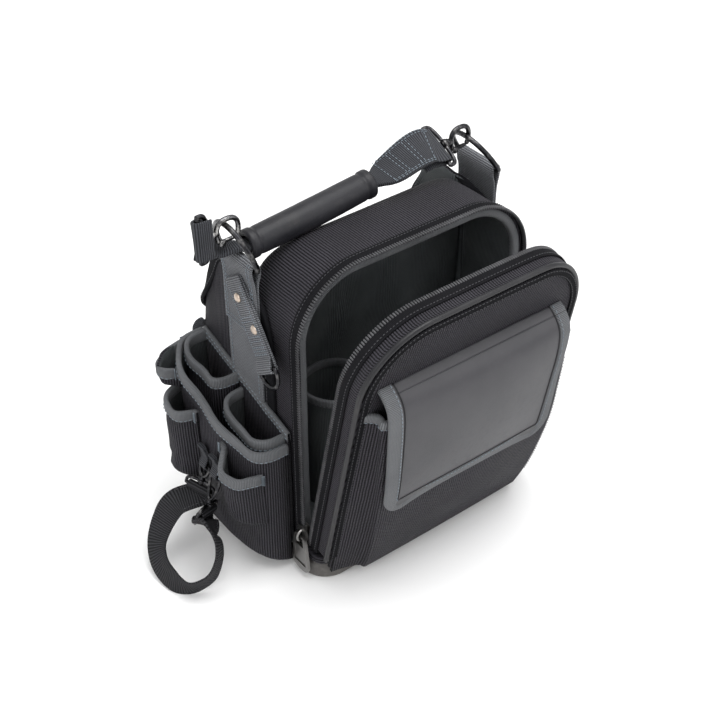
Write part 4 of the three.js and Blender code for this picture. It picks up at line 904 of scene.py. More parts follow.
# Floor pad of the case: rings of a rounded oblong close in on the middle of its under and upper side, and a
# quarter circle rounds both edges
def makePad():
    p = padLook
    t = np.linspace(0, math.pi / 2, 7)
    corner = np.stack([p["half"] - p["corner"] * (1 - np.cos(t)), p["deep"] - p["corner"] * (1 - np.sin(t))],
                      -1)
    line = np.vstack([corner, corner[::-1] * [-1, 1], -corner, corner[::-1] * [1, -1]])
    line = evenly(np.vstack([line, line[:1]]), 161)[:-1]
    turn = np.linspace(-math.pi / 2, math.pi / 2, 11)
    inset = p["round"] * (1 - np.cos(turn))
    z = np.where(turn < 0, p["low"] + p["round"] * (1 + np.sin(turn)),
                 p["high"] - p["round"] * (1 - np.sin(turn)))
    size = np.r_[np.linspace(0, 0.9, 8), 1 - inset / 100, np.linspace(0.9, 0, 8)]
    z = np.r_[np.full(8, z[0]), z, np.full(8, z[-1])]
    grid = np.stack([size[:, None] * line[None, :, 0], size[:, None] * line[None, :, 1],
                     np.repeat(z[:, None], 160, 1)], -1)
    dents = 0.5 * ripple(grid[20:, :, 0] / 120, grid[20:, :, 1] / 120, 17)
    grid[20:, :, 2] += dents * np.clip((1 - size[20:, None]) * 4, 0, 1)
    faces, places = quads(len(size), 160, False, True)
    uv = lengths(grid, False, True).reshape(-1, 2)[places].reshape(-1, 2)
    piece = tidyMesh(makeMesh("floorPad", grid, faces, [padCloth], uv), True)
    return place(piece, "bag", "ballistic", "floor_panel")


makePad()
low, high = box["side_pocket_panel"]
panelSize = {"out": -low[0], "thick": high[0] - low[0], "front": low[1], "back": high[1] - 1, "foot": low[2],
             "topFront": 163.0, "topBack": 204.0, "tape": 10.0}


# Panel behind the pouches: flat against the wall, its top edge sloping up to the back
def makePanel():
    p = panelSize
    y = np.linspace(p["front"], p["back"], 60)
    top = p["topFront"] + (p["topBack"] - p["topFront"]) * (y - p["front"]) / (p["back"] - p["front"])
    z = p["foot"] + (top - p["foot"])[None] * np.linspace(0, 1, 30)[:, None]
    grid = np.stack([np.full(z.shape, -p["out"]), np.broadcast_to(y, z.shape), z], -1)
    place(cloth("sidePanel", grid, p["thick"], ballistic, ballistic, core=np.array([0, 0, 100.0])), "bag",
          "ballistic", "side_pocket_panel")
    edge = grid[-1] + [p["thick"] / 2, 0, 0]
    bind("sidePanelBinding", edge, [-1, 0, 0], [0, 0, -1], p["tape"], p["thick"] + 1.8, binding, "bag",
         "webbing", 0.4, 5)
    for row, inset in enumerate((1.2, 6.4)):
        sewEdge(f"sidePanelStitches{row}", edge, [-1, 0, 0], [0, 0, -1], inset, 1.75, paleThread, "bag",
                "webbing", 4.4, 0.4, 5)


makePanel()
print("stage: rear compartment and side panel made")

# Pouches on the side panel: front and back are places behind the zip, foot and rims are heights
pouchColumns = ("front", "back", "out", "foot", "lean", "rimFront", "rimBack", "sag", "wave")
pouchRows = {
    "pocket_inner_back": (90, 144, 31, 70, 0.35, 184, 202, 4, 3.5),
    "pocket_inner_front": (20, 86, 31, 60, 0.35, 158, 171, 5, 3.0),
    "pocket_outer": (15, 148, 46, 8, 0.3, 150, 202, 5, 4.0),
    "pocket_small_corner": (128, 147, 56, 164, 0.0, 184, 199, 2, 0.0),
    "pocket_small_back": (97, 142, 60, 72, 0.0, 155, 160, 2, 0.0),
    "pocket_small_front": (18, 59.8, 57, 66, 0.12, 126, 145, 7, 0.0)}
pouchLooks = {node: dict(zip(pouchColumns, row)) for node, row in pouchRows.items()}
pouchWall = {"face": panelSize["out"] + 0.3, "fullAt": 208.0, "thick": 2.5, "tape": 11.5, "tapeThick": 5.2,
             "round": 12.0, "wrinkle": 1.5, "clear": 0.7}


# How far a pouch stands out of the panel: its fullness at that height times the blunt half sine of the
# place along the wall, where blunt is the power 0.45, and a wave of one and a half turns that grows upwards
def pouchReach(look, share, z):
    share = np.clip(share, 0, 1)
    up = np.clip((z - look["foot"]) / (pouchWall["fullAt"] - look["foot"]), 0, 1)
    swell = look["out"] * (1 - look["lean"] * (1 - up) ** 2)
    wave = look["wave"] * (np.sin(3 * math.pi * share + 0.5) - 0.6) * up**2 * np.sin(math.pi * share)
    return (swell + wave) * np.sin(math.pi * share) ** 0.45


# A pouch: rows rise from the rounded foot to the sloping rim, columns run from the front seam to the back
# seam with the cosine's spacing. A pouch sewn on the long one keeps a little outside its face
def makePouch(node, look, under=None, seed=1):
    w = pouchWall
    k = np.linspace(0, 1, 57)
    along = (1 - np.cos(math.pi * k)) / 2
    y = zipY + look["front"] + (look["back"] - look["front"]) * along
    rim = look["rimFront"] + (look["rimBack"] - look["rimFront"]) * along
    rim = rim - look["sag"] * np.sin(math.pi * along)
    turn = np.linspace(0, math.pi / 2, 8)
    z = np.concatenate([look["foot"] + w["round"] * (1 - np.cos(turn))[:, None] + 0 * rim[None],
                        look["foot"] + w["round"]
                        + (rim[None] - look["foot"] - w["round"]) * np.linspace(0, 1, 30)[1:, None]])
    tuck = np.concatenate([np.sin(turn), np.ones(29)])[:, None]
    kk = np.broadcast_to(k, z.shape)
    reach = pouchReach(look, kk, z)
    rise = np.clip((z - look["foot"]) / (rim[None] - look["foot"]), 0, 1)
    calm = np.sin(math.pi * kk) ** 0.5
    fold = ripple(rise * 0.8, kk * 1.5, seed, 6, 2.5) * w["wrinkle"] * calm
    low = np.exp(-((rise - 0.15) / 0.25) ** 2)
    fold = fold + ripple(rise * 1.6, kk * 2.4, seed + 40, 7, 3.0) * 2.2 * low * calm
    fold = fold + ripple(rise * 0.3, kk * 1.6, seed + 60, 4, 2.4) * 2.0 * rise**4 * calm
    pinch = -1.6 * np.exp(-((rise - 0.86) / 0.05) ** 2) * calm
    reach = reach + (fold - 1.0 + pinch) * np.clip(rise * 4, 0, 1)
    if under is not None:
        at = (y - zipY - under["front"]) / (under["back"] - under["front"])
        below = pouchReach(under, np.arccos(np.clip(1 - 2 * at, -1, 1)) / math.pi, z)
        start = below + w["clear"]
        reach = start + np.maximum(reach - start, 0) * tuck
    else:
        reach = reach * tuck
    x = -(w["face"] + np.maximum(reach, 0.3))
    grid = np.stack([x, np.broadcast_to(y, x.shape), z], -1)
    core = np.array([-w["face"] + 20, y.mean(), z.mean()])
    word = "".join(part.capitalize() for part in node.split("_"))
    word = word[0].lower() + word[1:]
    piece = cloth(word, grid, w["thick"], ballistic, lining, core=core)
    place(piece, "bag", "ballistic", node)
    n = gridNormals(grid)
    n = n * (1 if (n * (grid - core)).sum() > 0 else -1)
    out = n[-1].copy()
    out[:, 2] = 0
    out = unit(out)
    edge = evenly(grid[-1], 90)
    outs = unit(evenly(out, 90))
    middle = edge - outs * w["thick"] / 2
    bind(word + "Binding", middle, outs, [0, 0, -1], w["tape"], w["tapeThick"], binding, "bag", "webbing",
         0.9, seed)
    sewEdge(word + "Stitches", middle, outs, [0, 0, -1], w["tape"] - 3.4, w["tapeThick"] / 2 - 0.05,
            paleThread, "bag", "webbing", 4.2, 0.9, seed)
    return grid, outs


longLook = pouchLooks["pocket_outer"]
pouchGrids = {}
for number, (node, look) in enumerate(pouchLooks.items()):
    small = node.startswith("pocket_small")
    pouchGrids[node] = makePouch(node, look, longLook if small else None, 30 + number)


# Bartacks: short dense zigzags of thread where a small pouch's rim meets the long one
def bartack(name, middle, out, along, long=11.0, wide=3.0):
    t = np.linspace(-1, 1, 25)
    zig = np.where(np.arange(25) % 2, 1.0, -1.0)
    side = np.cross(unit(np.asarray(out, float)), unit(np.asarray(along, float)))
    length = t[:, None] * np.asarray(along, float) * long / 2
    path = np.asarray(middle, float) + length + zig[:, None] * side * wide / 2
    a, b = sides(path, out)
    return place(carry(name, path + np.asarray(out, float) * 0.35, a, b, roundSection(0.42, 6), paleThread),
                 "bag", "webbing")


for number, node in enumerate(("pocket_small_front", "pocket_small_back", "pocket_small_corner")):
    grid, outs = pouchGrids[node]
    for end, at in (("Front", 1), ("Back", -2)):
        o = unit(outs[at] * [1, 1, 0])
        bartack(f"bartack{number}{end}", grid[-1, at] + o * 2.2 + [0, 0, -4], o, [0, 0, 1])
print("stage: pouches made")

ringLook = {"wire": 2.5, "height": 37.5, "corner": 3.0, "half": 28.5}
strapLook = {"wide": 50.0, "thick": 2.2, "middle": 76.0, "bar": 133.8, "barHeight": 317.0, "foot": 176.0,
             "fold": 245.0}


# A bent wire made of the straight bar along Y and a bow that reaches the given height; columns: Y, height
def bowWire(half, height, corner, count=96):
    t = np.linspace(0, math.pi, 60)
    bow = np.stack([half * np.cos(t), corner + (height - corner) * np.sin(t)], -1)
    bend = np.linspace(0, math.pi / 2, 8)[1:]
    low = np.stack([-half + corner * (1 - np.cos(bend)), corner * (1 - np.sin(bend))], -1)
    line = np.vstack([bow, low, low[::-1] * [-1, 1], bow[:1]])
    return evenly(line, count + 1)[:-1]


# Round wire: a circle carried along the path
def wire(name, path, radius, material, toward, closed=True, count=14):
    a, b = sides(path, toward, closed)
    return carry(name, path, a, b, roundSection(radius, count), material, closed)


# D-ring of an ear strap: a bent wire, bar down, that leans towards -X about its bar by so many degrees
def makeRing(side, word, lean, body, node):
    r, s = ringLook, strapLook
    line = bowWire(r["half"], r["height"], r["corner"])
    t = math.radians(lean)
    path = np.stack([side * s["bar"] - line[:, 1] * math.sin(t), zipY + s["middle"] + line[:, 0],
                     s["barHeight"] + line[:, 1] * math.cos(t)], -1)
    ring = wire(word, path, r["wire"], blackMetal, [math.cos(t), 0, math.sin(t)])
    return place(ring, body, "black_metal", node)


# Ear strap: webbing that comes up the wall, goes round the ring's bar and down again, with sewn edges
def makeStrap(side, word, foot, node):
    s = strapLook
    b, h = s["bar"], s["barHeight"]
    stops = [(b - 1.1, foot), (b - 1.1, 240), (b - 1.2, 296), (b - 3.6, 309), (b - 4.1, 316),
             (b - 2.4, 320.6), (b, 321.4), (b + 2.4, 320.6), (b + 4.1, 316), (b + 3.6, 309), (b + 1.4, 296),
             (b + 1.2, 270), (b + 1.1, s["fold"])]
    line = spline(stops, 120)
    y = zipY + s["middle"]
    path = np.stack([side * line[:, 0], np.full(120, y), line[:, 1]], -1)
    step = unit(np.gradient(path, axis=0))
    a = np.cross(step, [0, 1.0, 0])
    strap = carry(word, path, a, np.array([0, 1.0, 0]), tapeSection(s["thick"], s["wide"], 24, 0.25),
                  paleWebbing)
    place(strap, "bag", "webbing", node)
    face = path[-46:] + np.array([side * (s["thick"] / 2 + 0.1), 0, 0])
    out = [side, 0, 0]
    for row, at in enumerate((-21.5, -18.5, 18.5, 21.5)):
        place(stitches(f"{word}Edge{row}", face + [0, at, 0], out, paleThread, 4.0), "bag", "webbing")
    for row, z in enumerate((s["fold"] + 3, s["fold"] + 7, 287, 291)):
        line = np.stack([np.full(20, face[-1, 0] + (side * 0.1)), np.linspace(y - 21, y + 21, 20),
                         np.full(20, float(z))], -1)
        place(stitches(f"{word}Cross{row}", line, out, paleThread, 4.0), "bag", "webbing")
    lower = np.stack([np.full(20, side * (b + 0.1)), np.full(20, y),
                      np.linspace(foot + 6, s["fold"] - 2, 20)], -1)
    for row, at in enumerate((-20, 20)):
        place(stitches(f"{word}Leg{row}", lower + [0, at, 0], out, paleThread, 4.2), "bag", "webbing")


makeStrap(-1, "earStrapLeft", strapLook["foot"], "ear_strap_left")
makeStrap(1, "earStrapRight", 160.0, "ear_strap_right")
makeRing(-1, "ringLeft", 17.0, "ring_left", "ring_left")
makeRing(1, "ringRight", 32.0, "ring_right", "ring_right")

tabLook = {"wide": 25.0, "thick": 2.2, "wire": 1.8, "height": 17.0, "corner": 2.0, "turn": -35.0,
           "length": 84.0, "at": (-136.5, 31.0, 229.0)}


# Corner tab: drawn upright in its own frame and turned about X; a long strip of webbing, sewn onto the ear
# strap with two rivets and folded round a small ring
def makeTab():
    t = tabLook
    origin = np.array([t["at"][0], zipY + t["at"][1], t["at"][2]])
    fold = t["wire"] + 0.5 + t["thick"]

    def toPlace(p):
        return turnedAbout(np.asarray(p, float) + origin, origin, [1, 0, 0], t["turn"])

    r = fold - t["thick"] / 2
    stops = [(-1.1, t["length"]), (-1.1, 12), (-fold + r * 0.86, 3.2), (-fold + r, 0),
             (-fold + r * 0.6, -r * 0.8), (-fold, -r), (-fold - r * 0.7, -r * 0.7), (-fold - r, 0),
             (-fold - r * 0.4, 4), (-4.6, 9), (-3.5, 16), (-3.4, t["length"] - 6), (-2.4, t["length"] - 1)]
    line = spline(stops, 90)
    path = np.stack([line[:, 0], np.zeros(90), line[:, 1]], -1)
    a = np.cross(unit(np.gradient(path, axis=0)), [0, 1.0, 0])
    strip = carry("cornerTab", toPlace(path), toPlace(path + a) - toPlace(path),
                  toPlace(path + [0, 1, 0]) - toPlace(path), tapeSection(t["thick"], t["wide"], 20, 0.25),
                  paleWebbing)
    place(strip, "bag", "webbing", "corner_tab")
    outward = toPlace([-1, 0, 0]) - toPlace([0, 0, 0])
    for row, at in enumerate(np.linspace(-10, 10, 7)):
        reach = t["length"] - 8 if row in (0, 6) else 22
        line = np.stack([np.full(16, -4.55), np.full(16, at), np.linspace(12, reach, 16)], -1)
        place(stitches(f"cornerTabStitches{row}", toPlace(line), outward, paleThread, 3.2), "bag", "webbing")
    for row, at in enumerate((26, 30, 44, 48)):
        line = np.stack([np.full(12, -4.55), np.linspace(-9, 9, 12), np.full(12, float(at))], -1)
        place(stitches(f"cornerTabCross{row}", toPlace(line), outward, paleThread, 3.6), "bag", "webbing")
    rivet = [(0, 2.3), (1.7, 2.2), (3.4, 1.7), (4.3, 0.9), (4.6, 0.0), (0, 0)]
    for row, (at, along) in enumerate(((-5, 36), (2, 66))):
        place(turned(f"cornerTabRivet{row}", rivet, toPlace([-4.5, at, along]), outward, copper), "bag",
              "zip_metal")
    bow = bowWire(t["wide"] / 2 + 0.5 + t["corner"], t["height"], t["corner"], 72)
    ring = np.stack([np.full(72, -fold), bow[:, 0], -bow[:, 1]], -1)
    piece = wire("tabRing", toPlace(ring), t["wire"], blackMetal, outward, count=12)
    place(piece, "tab_ring", "black_metal", "tab_ring")


makeTab()
print("stage: ear straps and rings made")

hookLook = {"eyeLong": 10.5, "eyeTall": 11.0, "wire": 2.3, "shank": 3.5, "pin": 1.8, "boss": 4.0,
            "radius": 4.6, "head": 1.2, "reach": 9.0, "loop": 2.0, "webbing": 38.0, "height": 347.602,
            "left": -143.264, "right": 108.828, "hinge": (-7.0, -9.4), "nose": (7.6, -8.8), "leanLeft": 88.0,
            "leanRight": 26.0}


# Places along a swivel, measured from the middle of the hook's eye
def swivelPlaces(s):
    start = s["start"]
    bossFrom = start + s["shank"] + 0.3
    return {"start": start, "neck": start + s["shank"], "bossFrom": bossFrom, "bossTo": bossFrom + s["boss"],
            "pinEnd": bossFrom + s["boss"] + 0.3, "bar": bossFrom + s["boss"] / 2 + s["reach"]}


# X of the bar that carries the handle's webbing, for a hook at x
def swivelBar(x):
    return x - swivelPlaces({**hookLook, "start": hookLook["eyeLong"] + hookLook["wire"]})["bar"]


# Stem of a hook: a waisted cone, the pin through the loop's boss and the riveted head behind it
def stem(name, s, eyeWire, origin, axis, material):
    p = swivelPlaces(s)
    head = s["radius"] * 0.74
    profile = [(0, p["start"] - eyeWire), (eyeWire * 1.1, p["start"] - eyeWire),
               (eyeWire * 1.35, p["start"] - eyeWire * 0.3),
               (s["radius"] * 0.72, p["start"] + 0.2 * s["shank"]),
               (s["radius"] * 0.85, p["start"] + 0.5 * s["shank"]), (s["radius"] * 0.85, p["neck"] - 0.4),
               (s["radius"] * 0.75, p["neck"]), (s["pin"], p["neck"]), (s["pin"], p["pinEnd"]),
               (head - 0.3, p["pinEnd"]), (head, p["pinEnd"] + 0.4),
               (head * 0.9, p["pinEnd"] + s["head"] * 0.7), (head * 0.5, p["pinEnd"] + s["head"]),
               (0, p["pinEnd"] + s["head"])]
    return turned(name, profile, origin, axis, material, 24)


# Loop of a swivel: boss round the pin, and a D-shaped wire whose far bar carries the webbing
def swivelLoop(name, s, toWorld, material):
    p = swivelPlaces(s)
    t = np.linspace(0, math.pi, 60)
    half = s["webbing"] / 2 + 1 + s["loop"]
    bow = np.stack([-p["bar"] + s["reach"] * np.sin(t) ** 0.4, half * np.cos(t), 0 * t], -1)
    line = evenly(np.vstack([bow, bow[:1]]), 121)[:-1]
    around = wire(name + "Wire", toWorld(line), s["loop"], material,
                  toWorld(np.array([0, 0, 1.0])) - toWorld(np.zeros(3)), count=12)
    r, hole = s["radius"], s["pin"] + 0.25
    ring = [(hole, p["bossFrom"]), (r - 0.5, p["bossFrom"]), (r, p["bossFrom"] + 0.5), (r, p["bossTo"] - 0.5),
            (r - 0.5, p["bossTo"]), (hole, p["bossTo"]), (hole, p["bossFrom"])]
    axis = toWorld(np.array([-1.0, 0, 0])) - toWorld(np.zeros(3))
    boss = turned(name + "Boss", ring, toWorld(np.zeros(3)), axis, material, 24)
    return joined(name, [around, boss])


# Oval of a hook's eye, from its nose over the top to the gate's cheeks; power 0.8 squares it a little
def eyePath():
    h = hookLook
    t = np.linspace(-math.pi, math.pi, 400)
    c, s = np.cos(t), np.sin(t)
    line = np.stack([h["eyeLong"] * np.sign(c) * abs(c) ** 0.8, 0 * t,
                     h["eyeTall"] * np.sign(s) * abs(s) ** 0.8], -1)
    gone = (line[:, 2] < -5) & (line[:, 0] > h["hinge"][0]) & (line[:, 0] < h["nose"][0])
    start = np.flatnonzero(gone)[-1] + 1
    line = np.roll(line[:-1], -start, 0)
    kept = ~np.roll(gone[:-1], -start)
    return evenly(line[kept], 90)


# Snap hook: the eye's wire with its thinner nose, the stem, two cheeks at the gate's hinge, the loop that
# turns about the stem, and the gate, a bar from the hinge to the nose
def makeHook(word, x, body, material, gateBody):
    h = hookLook
    centre = np.array([x, zipY + strapLook["middle"], h["height"]])
    spec = {**h, "start": h["eyeLong"] + h["wire"]}
    path = eyePath() + centre
    size = np.ones((90, 2))
    size[:3] = np.array([0.55, 0.85, 0.97])[:, None]
    a, b = sides(path, [0, 1, 0])
    eye = carry(word + "Eye", path, a, b, roundSection(h["wire"], 16), material, scale=size)
    shaft = stem(word + "Stem", spec, h["wire"], centre, [-1, 0, 0], material)
    hinge = centre + [h["hinge"][0], 0, h["hinge"][1]]
    parts = [eye, shaft]
    for side in (-1, 1):
        cheek = [(0, 1.75), (2.7, 1.75), (3.1, 2.1), (3.1, 3.1), (2.7, 3.5), (1.3, 3.5), (1.2, 3.8), (0, 3.9)]
        parts.append(turned(f"{word}Cheek{side}", cheek, hinge, [0, side, 0], material, 20))
    place(joined(word, parts), body, "black_metal", "snap_hook_" + word[8:].lower())
    lean = h["leanLeft"] if x < 0 else h["leanRight"]

    def toPlace(p):
        return turnedAbout(p, np.zeros(3), [1, 0, 0], lean) + centre

    loop = swivelLoop("swivelLoop" + word[8:], spec, toPlace, blackMetal)
    place(loop, "handle", "black_metal", "swivel_loop_" + word[8:].lower())
    nose = centre + [h["nose"][0] - 0.4, 0, h["nose"][1]]
    line = np.linspace(hinge, nose, 24)
    tall = np.interp(np.linspace(0, 1, 24), [0, 0.08, 0.2, 0.85, 0.96, 1], [0.7, 1.25, 1.05, 1, 0.8, 0.45])
    gate = carry("hookGate" + word[8:], line, [0, 1, 0], [0, 0, 1], tapeSection(2.8, 3.3, 14, 0.6), material,
                 scale=np.stack([np.ones(24), tall], -1))
    place(gate, gateBody, "black_metal", "hook_gate_" + word[8:].lower())


makeHook("snapHookLeft", hookLook["left"], "hook_left", wornMetal, "gate_left")
makeHook("snapHookRight", hookLook["right"], "hook_right", blackMetal, "gate_right")

gripLook = {"radius": 13.4, "bore": 8.6, "from": -126.0, "length": 131.0, "low": 326.0, "high": 338.6,
            "bow": -1.2}


# Height of the grip's middle line at x: a straight rise from end to end and a shallow half sine
def gripHeight(x):
    g = gripLook
    share = np.clip((x - g["from"]) / g["length"], 0, 1)
    return g["low"] + (g["high"] - g["low"]) * share + g["bow"] * np.sin(math.pi * share)


# Handle webbing: round the left loop's bar, which stands on its edge, gathered under the eye and narrow
# through the grip, then wide again, rising a little above the right loop's bar and going round it. Columns:
# X, place beside the axle, height, width, thickness, lean of the width out of level in degrees
def makeHandle():
    h, thick = hookLook, 2.2
    start, end = gripLook["from"], gripLook["from"] + gripLook["length"]
    barLeft, barRight = (swivelBar(x) for x in (h["left"], h["right"]))
    z, r, lean = h["height"], h["loop"] + 0.5 + 1.1, h["leanLeft"]
    c, q = math.cos(math.radians(lean)), math.sin(math.radians(lean))
    wrap = [(11, -4.4), (5, -3.9), (1.5, -r), (-0.7 * r, -0.7 * r), (-r, 0), (-0.7 * r, 0.7 * r), (1, r)]
    stops = [(barLeft + x, q * away, z - c * away, 37, thick, lean) for x, away in wrap]
    under = z - h["eyeTall"] - h["wire"] - 5.0
    stops += [(barLeft + 8, 6.2, z - 5.0, 33, 3.4, lean - 8), (h["left"] - 14, 8.0, z - 12.5, 26, 4.2, 50),
              (h["left"] - 7, 5.0, under + 0.2, 19, 4.4, 22), (h["left"], 1.5, under - 0.4, 15, 4.6, 4),
              (h["left"] + 8, 0, under - 0.4, 14.5, 4.8, 0), (start - 3, 0, gripHeight(start), 15, 4.8, 0)]
    stops += [(x, 0, gripHeight(x), 16, 4.6, 0) for x in np.linspace(start + 10, end - 3, 6)]
    tilt = h["leanRight"]
    c, q = math.cos(math.radians(tilt)), math.sin(math.radians(tilt))
    rise = z - gripHeight(end)
    stops += [(end + 7, 0, gripHeight(end) + 0.6, 22, 4.4, 2),
              (end + 14, 0, gripHeight(end) + 1.6, 30, 4.2, 3),
              (end + 24, 0, gripHeight(end) + 0.5 * rise, 36, 4.2, 6),
              (end + 46, 0, gripHeight(end) + rise + 3, 37, 4.2, 18),
              (barRight - 14, 0, z + 5.4, 37, 3.6, tilt)]
    wrap = [(-5, 4.2), (0.3 * r, 0.95 * r), (0.95 * r, 0.3 * r), (0.7 * r, -0.7 * r), (-0.4 * r, -0.9 * r),
            (-8, -1.8), (-15, -1.2), (-24, -3.0)]
    stops += [(barRight + x, -q * away, z + c * away, 37, thick, tilt) for x, away in wrap]
    line = spline(stops, 360)
    path = np.stack([line[:, 0], zipY + strapLook["middle"] + line[:, 1], line[:, 2]], -1)
    turn = np.radians(line[:, 5])
    wide = np.stack([0 * turn, np.cos(turn), np.sin(turn)], -1)
    along = unit(np.gradient(path, axis=0))
    wide = unit(wide - (wide * along).sum(-1, keepdims=True) * along)
    a = np.cross(along, wide)
    strap = carry("handleWebbing", path, a, wide, tapeSection(1.0, 1.0, 24, 0.25), webbing,
                  scale=np.stack([line[:, 4], line[:, 3]], -1))
    place(strap, "handle", "webbing", "handle_webbing")
    topmost = int(np.argmax(line[:, 0]))
    upper = np.flatnonzero((line[:, 0] > end + 15) & (line[:, 0] < barRight - 7) & (np.arange(360) < topmost))
    face = path[upper] + a[upper] * (line[upper, 4:5] / 2 + 0.05)
    for row, at in enumerate((-17, -15, 15, 17)):
        place(stitches(f"handleEdge{row}", face + wide[upper] * at, a[upper], paleThread, 3.6), "handle",
              "webbing")
    for row, at in enumerate((0.04, 0.3, 0.36, 0.62, 0.68, 0.96)):
        spot = int(at * (len(face) - 1))
        across = face[spot] + np.linspace(-15, 15, 16)[:, None] * wide[upper][spot]
        place(stitches(f"handleCross{row}", across, a[upper][spot], paleThread, 3.8), "handle", "webbing")


makeHandle()


# Grip: a tube along its middle line. The radius goes from stop to stop by the distance to the nearer end,
# which raises both ends as collars, and the bore has one radius all the way
def makeGrip():
    g = gripLook
    rows, cols = 120, 40
    at = np.linspace(0, 1, rows) * g["length"]
    end = np.minimum(at, g["length"] - at)
    stops = [(0, g["radius"] - 1.8), (0.8, g["radius"] - 0.5), (2, g["radius"]), (6.5, g["radius"]),
             (8.2, g["radius"] - 0.9), (9.2, g["radius"] - 1.6), (10.4, g["radius"] - 1.0),
             (12, g["radius"] - 0.8), (30, g["radius"] - 0.5), (64, g["radius"] - 0.3)]
    radius = np.interp(end, *np.array(stops).T)
    x = g["from"] + at
    path = np.stack([x, np.full(rows, zipY + strapLook["middle"]), gripHeight(x)], -1)
    a, b = sides(path, [0, 1, 0])
    around = np.linspace(0, 2 * math.pi, cols, endpoint=False)[None, :, None]
    outer = path[:, None] + radius[:, None, None] * (np.cos(around) * a[:, None]
                                                     + np.sin(around) * b[:, None])
    core = path[:, None] + np.zeros((rows, cols, 1))
    bore = core + (outer - core) * (g["bore"] / radius)[:, None, None]
    faces, _ = quads(rows, cols, False, True)
    count = rows * cols
    caps = []
    for row in (0, rows - 1):
        ring = np.arange(row * cols, row * cols + cols)
        caps.append(np.stack([ring, np.roll(ring, -1), np.roll(ring, -1) + count, ring + count], -1))
    allFaces = np.concatenate([faces, faces[:, ::-1] + count] + caps)
    piece = tidyMesh(makeMesh("grip", np.concatenate([outer.reshape(-1, 3), bore.reshape(-1, 3)]), allFaces,
                              [gripRubber]), True)
    return place(piece, "handle", "rubber", "grip")


makeGrip()
print("stage: hooks, handle and grip made")

doorLook = {"half": 128.0, "top": 322.0, "foot": 31.0, "back": zipY - 6.0, "face": zipY - 27.0,
            "corner": 66.0, "wall": 3.0, "round": 7.0, "skirt": 20.0, "skirtHalf": 122.0, "band": 8.5,
            "sag": 1.0}


# Door: side walls run forward from the zip, turn over a small round into the face and close on its middle
def makeDoor():
    d = doorLook
    count = 150
    turn = np.linspace(0, math.pi / 2, 8)[1:]
    depth = np.r_[np.linspace(d["back"], d["face"] + d["round"], 6),
                  d["face"] + d["round"] * (1 - np.sin(turn))]
    inset = np.r_[np.zeros(6), d["round"] * (1 - np.cos(turn))]
    rows = []
    for y, n in zip(depth, inset):
        line = archOutline(d["half"] - n, d["foot"] + n, d["top"] - n, d["corner"] - n, count, 8.0)
        rows.append(np.stack([line[:, 0], np.full(count, y), line[:, 1]], -1))
    last = rows[-1]
    middle = np.array([0, d["face"], 160.0])
    for f in np.linspace(1, 0, 16)[1:]:
        ring = middle + (last - middle) * f
        ring[:, 1] -= 1.2 * math.sin(math.pi * min(1.0, (1 - f) * 6) / 2)
        rows.append(ring)
    grid = np.array(rows)
    u, v = np.meshgrid(np.linspace(0, 1, grid.shape[0]), np.linspace(0, 1, count), indexing="ij")
    uneven = (ripple(u, np.sin(2 * math.pi * v), 14, reach=1.5) + 0.6) * d["sag"]
    grid[..., 1] += uneven * np.clip(u * 3 - 0.8, 0, 1) * np.clip(8 - 8 * u, 0, 1)
    shell = cloth("doorShell", onDoor(grid), d["wall"], ballistic, lining, closeCols=True,
                  core=onDoor(np.array([0, d["back"] + 20, 160.0])))
    place(standRibs(shell), "door", "ballistic", "door_shell")
    x = np.linspace(-d["skirtHalf"], d["skirtHalf"], 60)
    z = np.linspace(d["skirt"], d["foot"] + 6, 6)
    gx, gz = np.meshgrid(x, z)
    skirt = np.stack([gx, np.full(gx.shape, d["face"] + 0.4) + 0.6 * ripple(gx / 150, gz / 20, 9), gz], -1)
    place(cloth("doorSkirt", onDoor(skirt), 2.6, ballistic, core=onDoor(np.array([0, 50.0, 26]))), "door",
          "ballistic")
    path, out = archPath(1.6, d["foot"] + 3, d["face"] + 2.2)
    piping = wire("doorPiping", onDoor(path), 2.5, pipingRubber,
                  onDoor(np.array([0, 1.0, 0])) - onDoor(np.zeros(3)), closed=False, count=12)
    place(piping, "door", "rubber")
    path, out = archPath(8.2, d["foot"] + 6, d["face"] - 0.7)
    frontOut = onDoor(np.array([0, -1.0, 0])) - onDoor(np.zeros(3))
    band = carry("doorBand", onDoor(path), frontOut, onDoor(path + out) - onDoor(path),
                 tapeSection(1.0, d["band"], 16, 0.3), blackTape)
    place(band, "door", "ballistic")
    for row, inset in enumerate((5.4, 11.0)):
        path, out = archPath(inset, d["foot"] + 8, d["face"] - 1.15)
        place(stitches(f"doorBandStitches{row}", onDoor(path), frontOut, darkThread, 3.8), "door",
              "ballistic")


makeDoor()

pocketLook = {"seam": 119.0, "topLeft": 111.0, "topRight": 108.0, "footLeft": 91.0, "footRight": 104.0,
              "foot": 12.0, "top": 240.0, "thick": 3.0, "round": 4.0, "pleat": 5.0, "dip": 5.0, "tape": 10.0,
              "wrinkle": 2.4, "bulge": 6.0}
# How far the pocket's corners reach out of the door at each height
pocketOut = [(12, 13.0), (40, 18.5), (80, 23.5), (130, 25.0), (180, 22.0), (240, 16.5)]


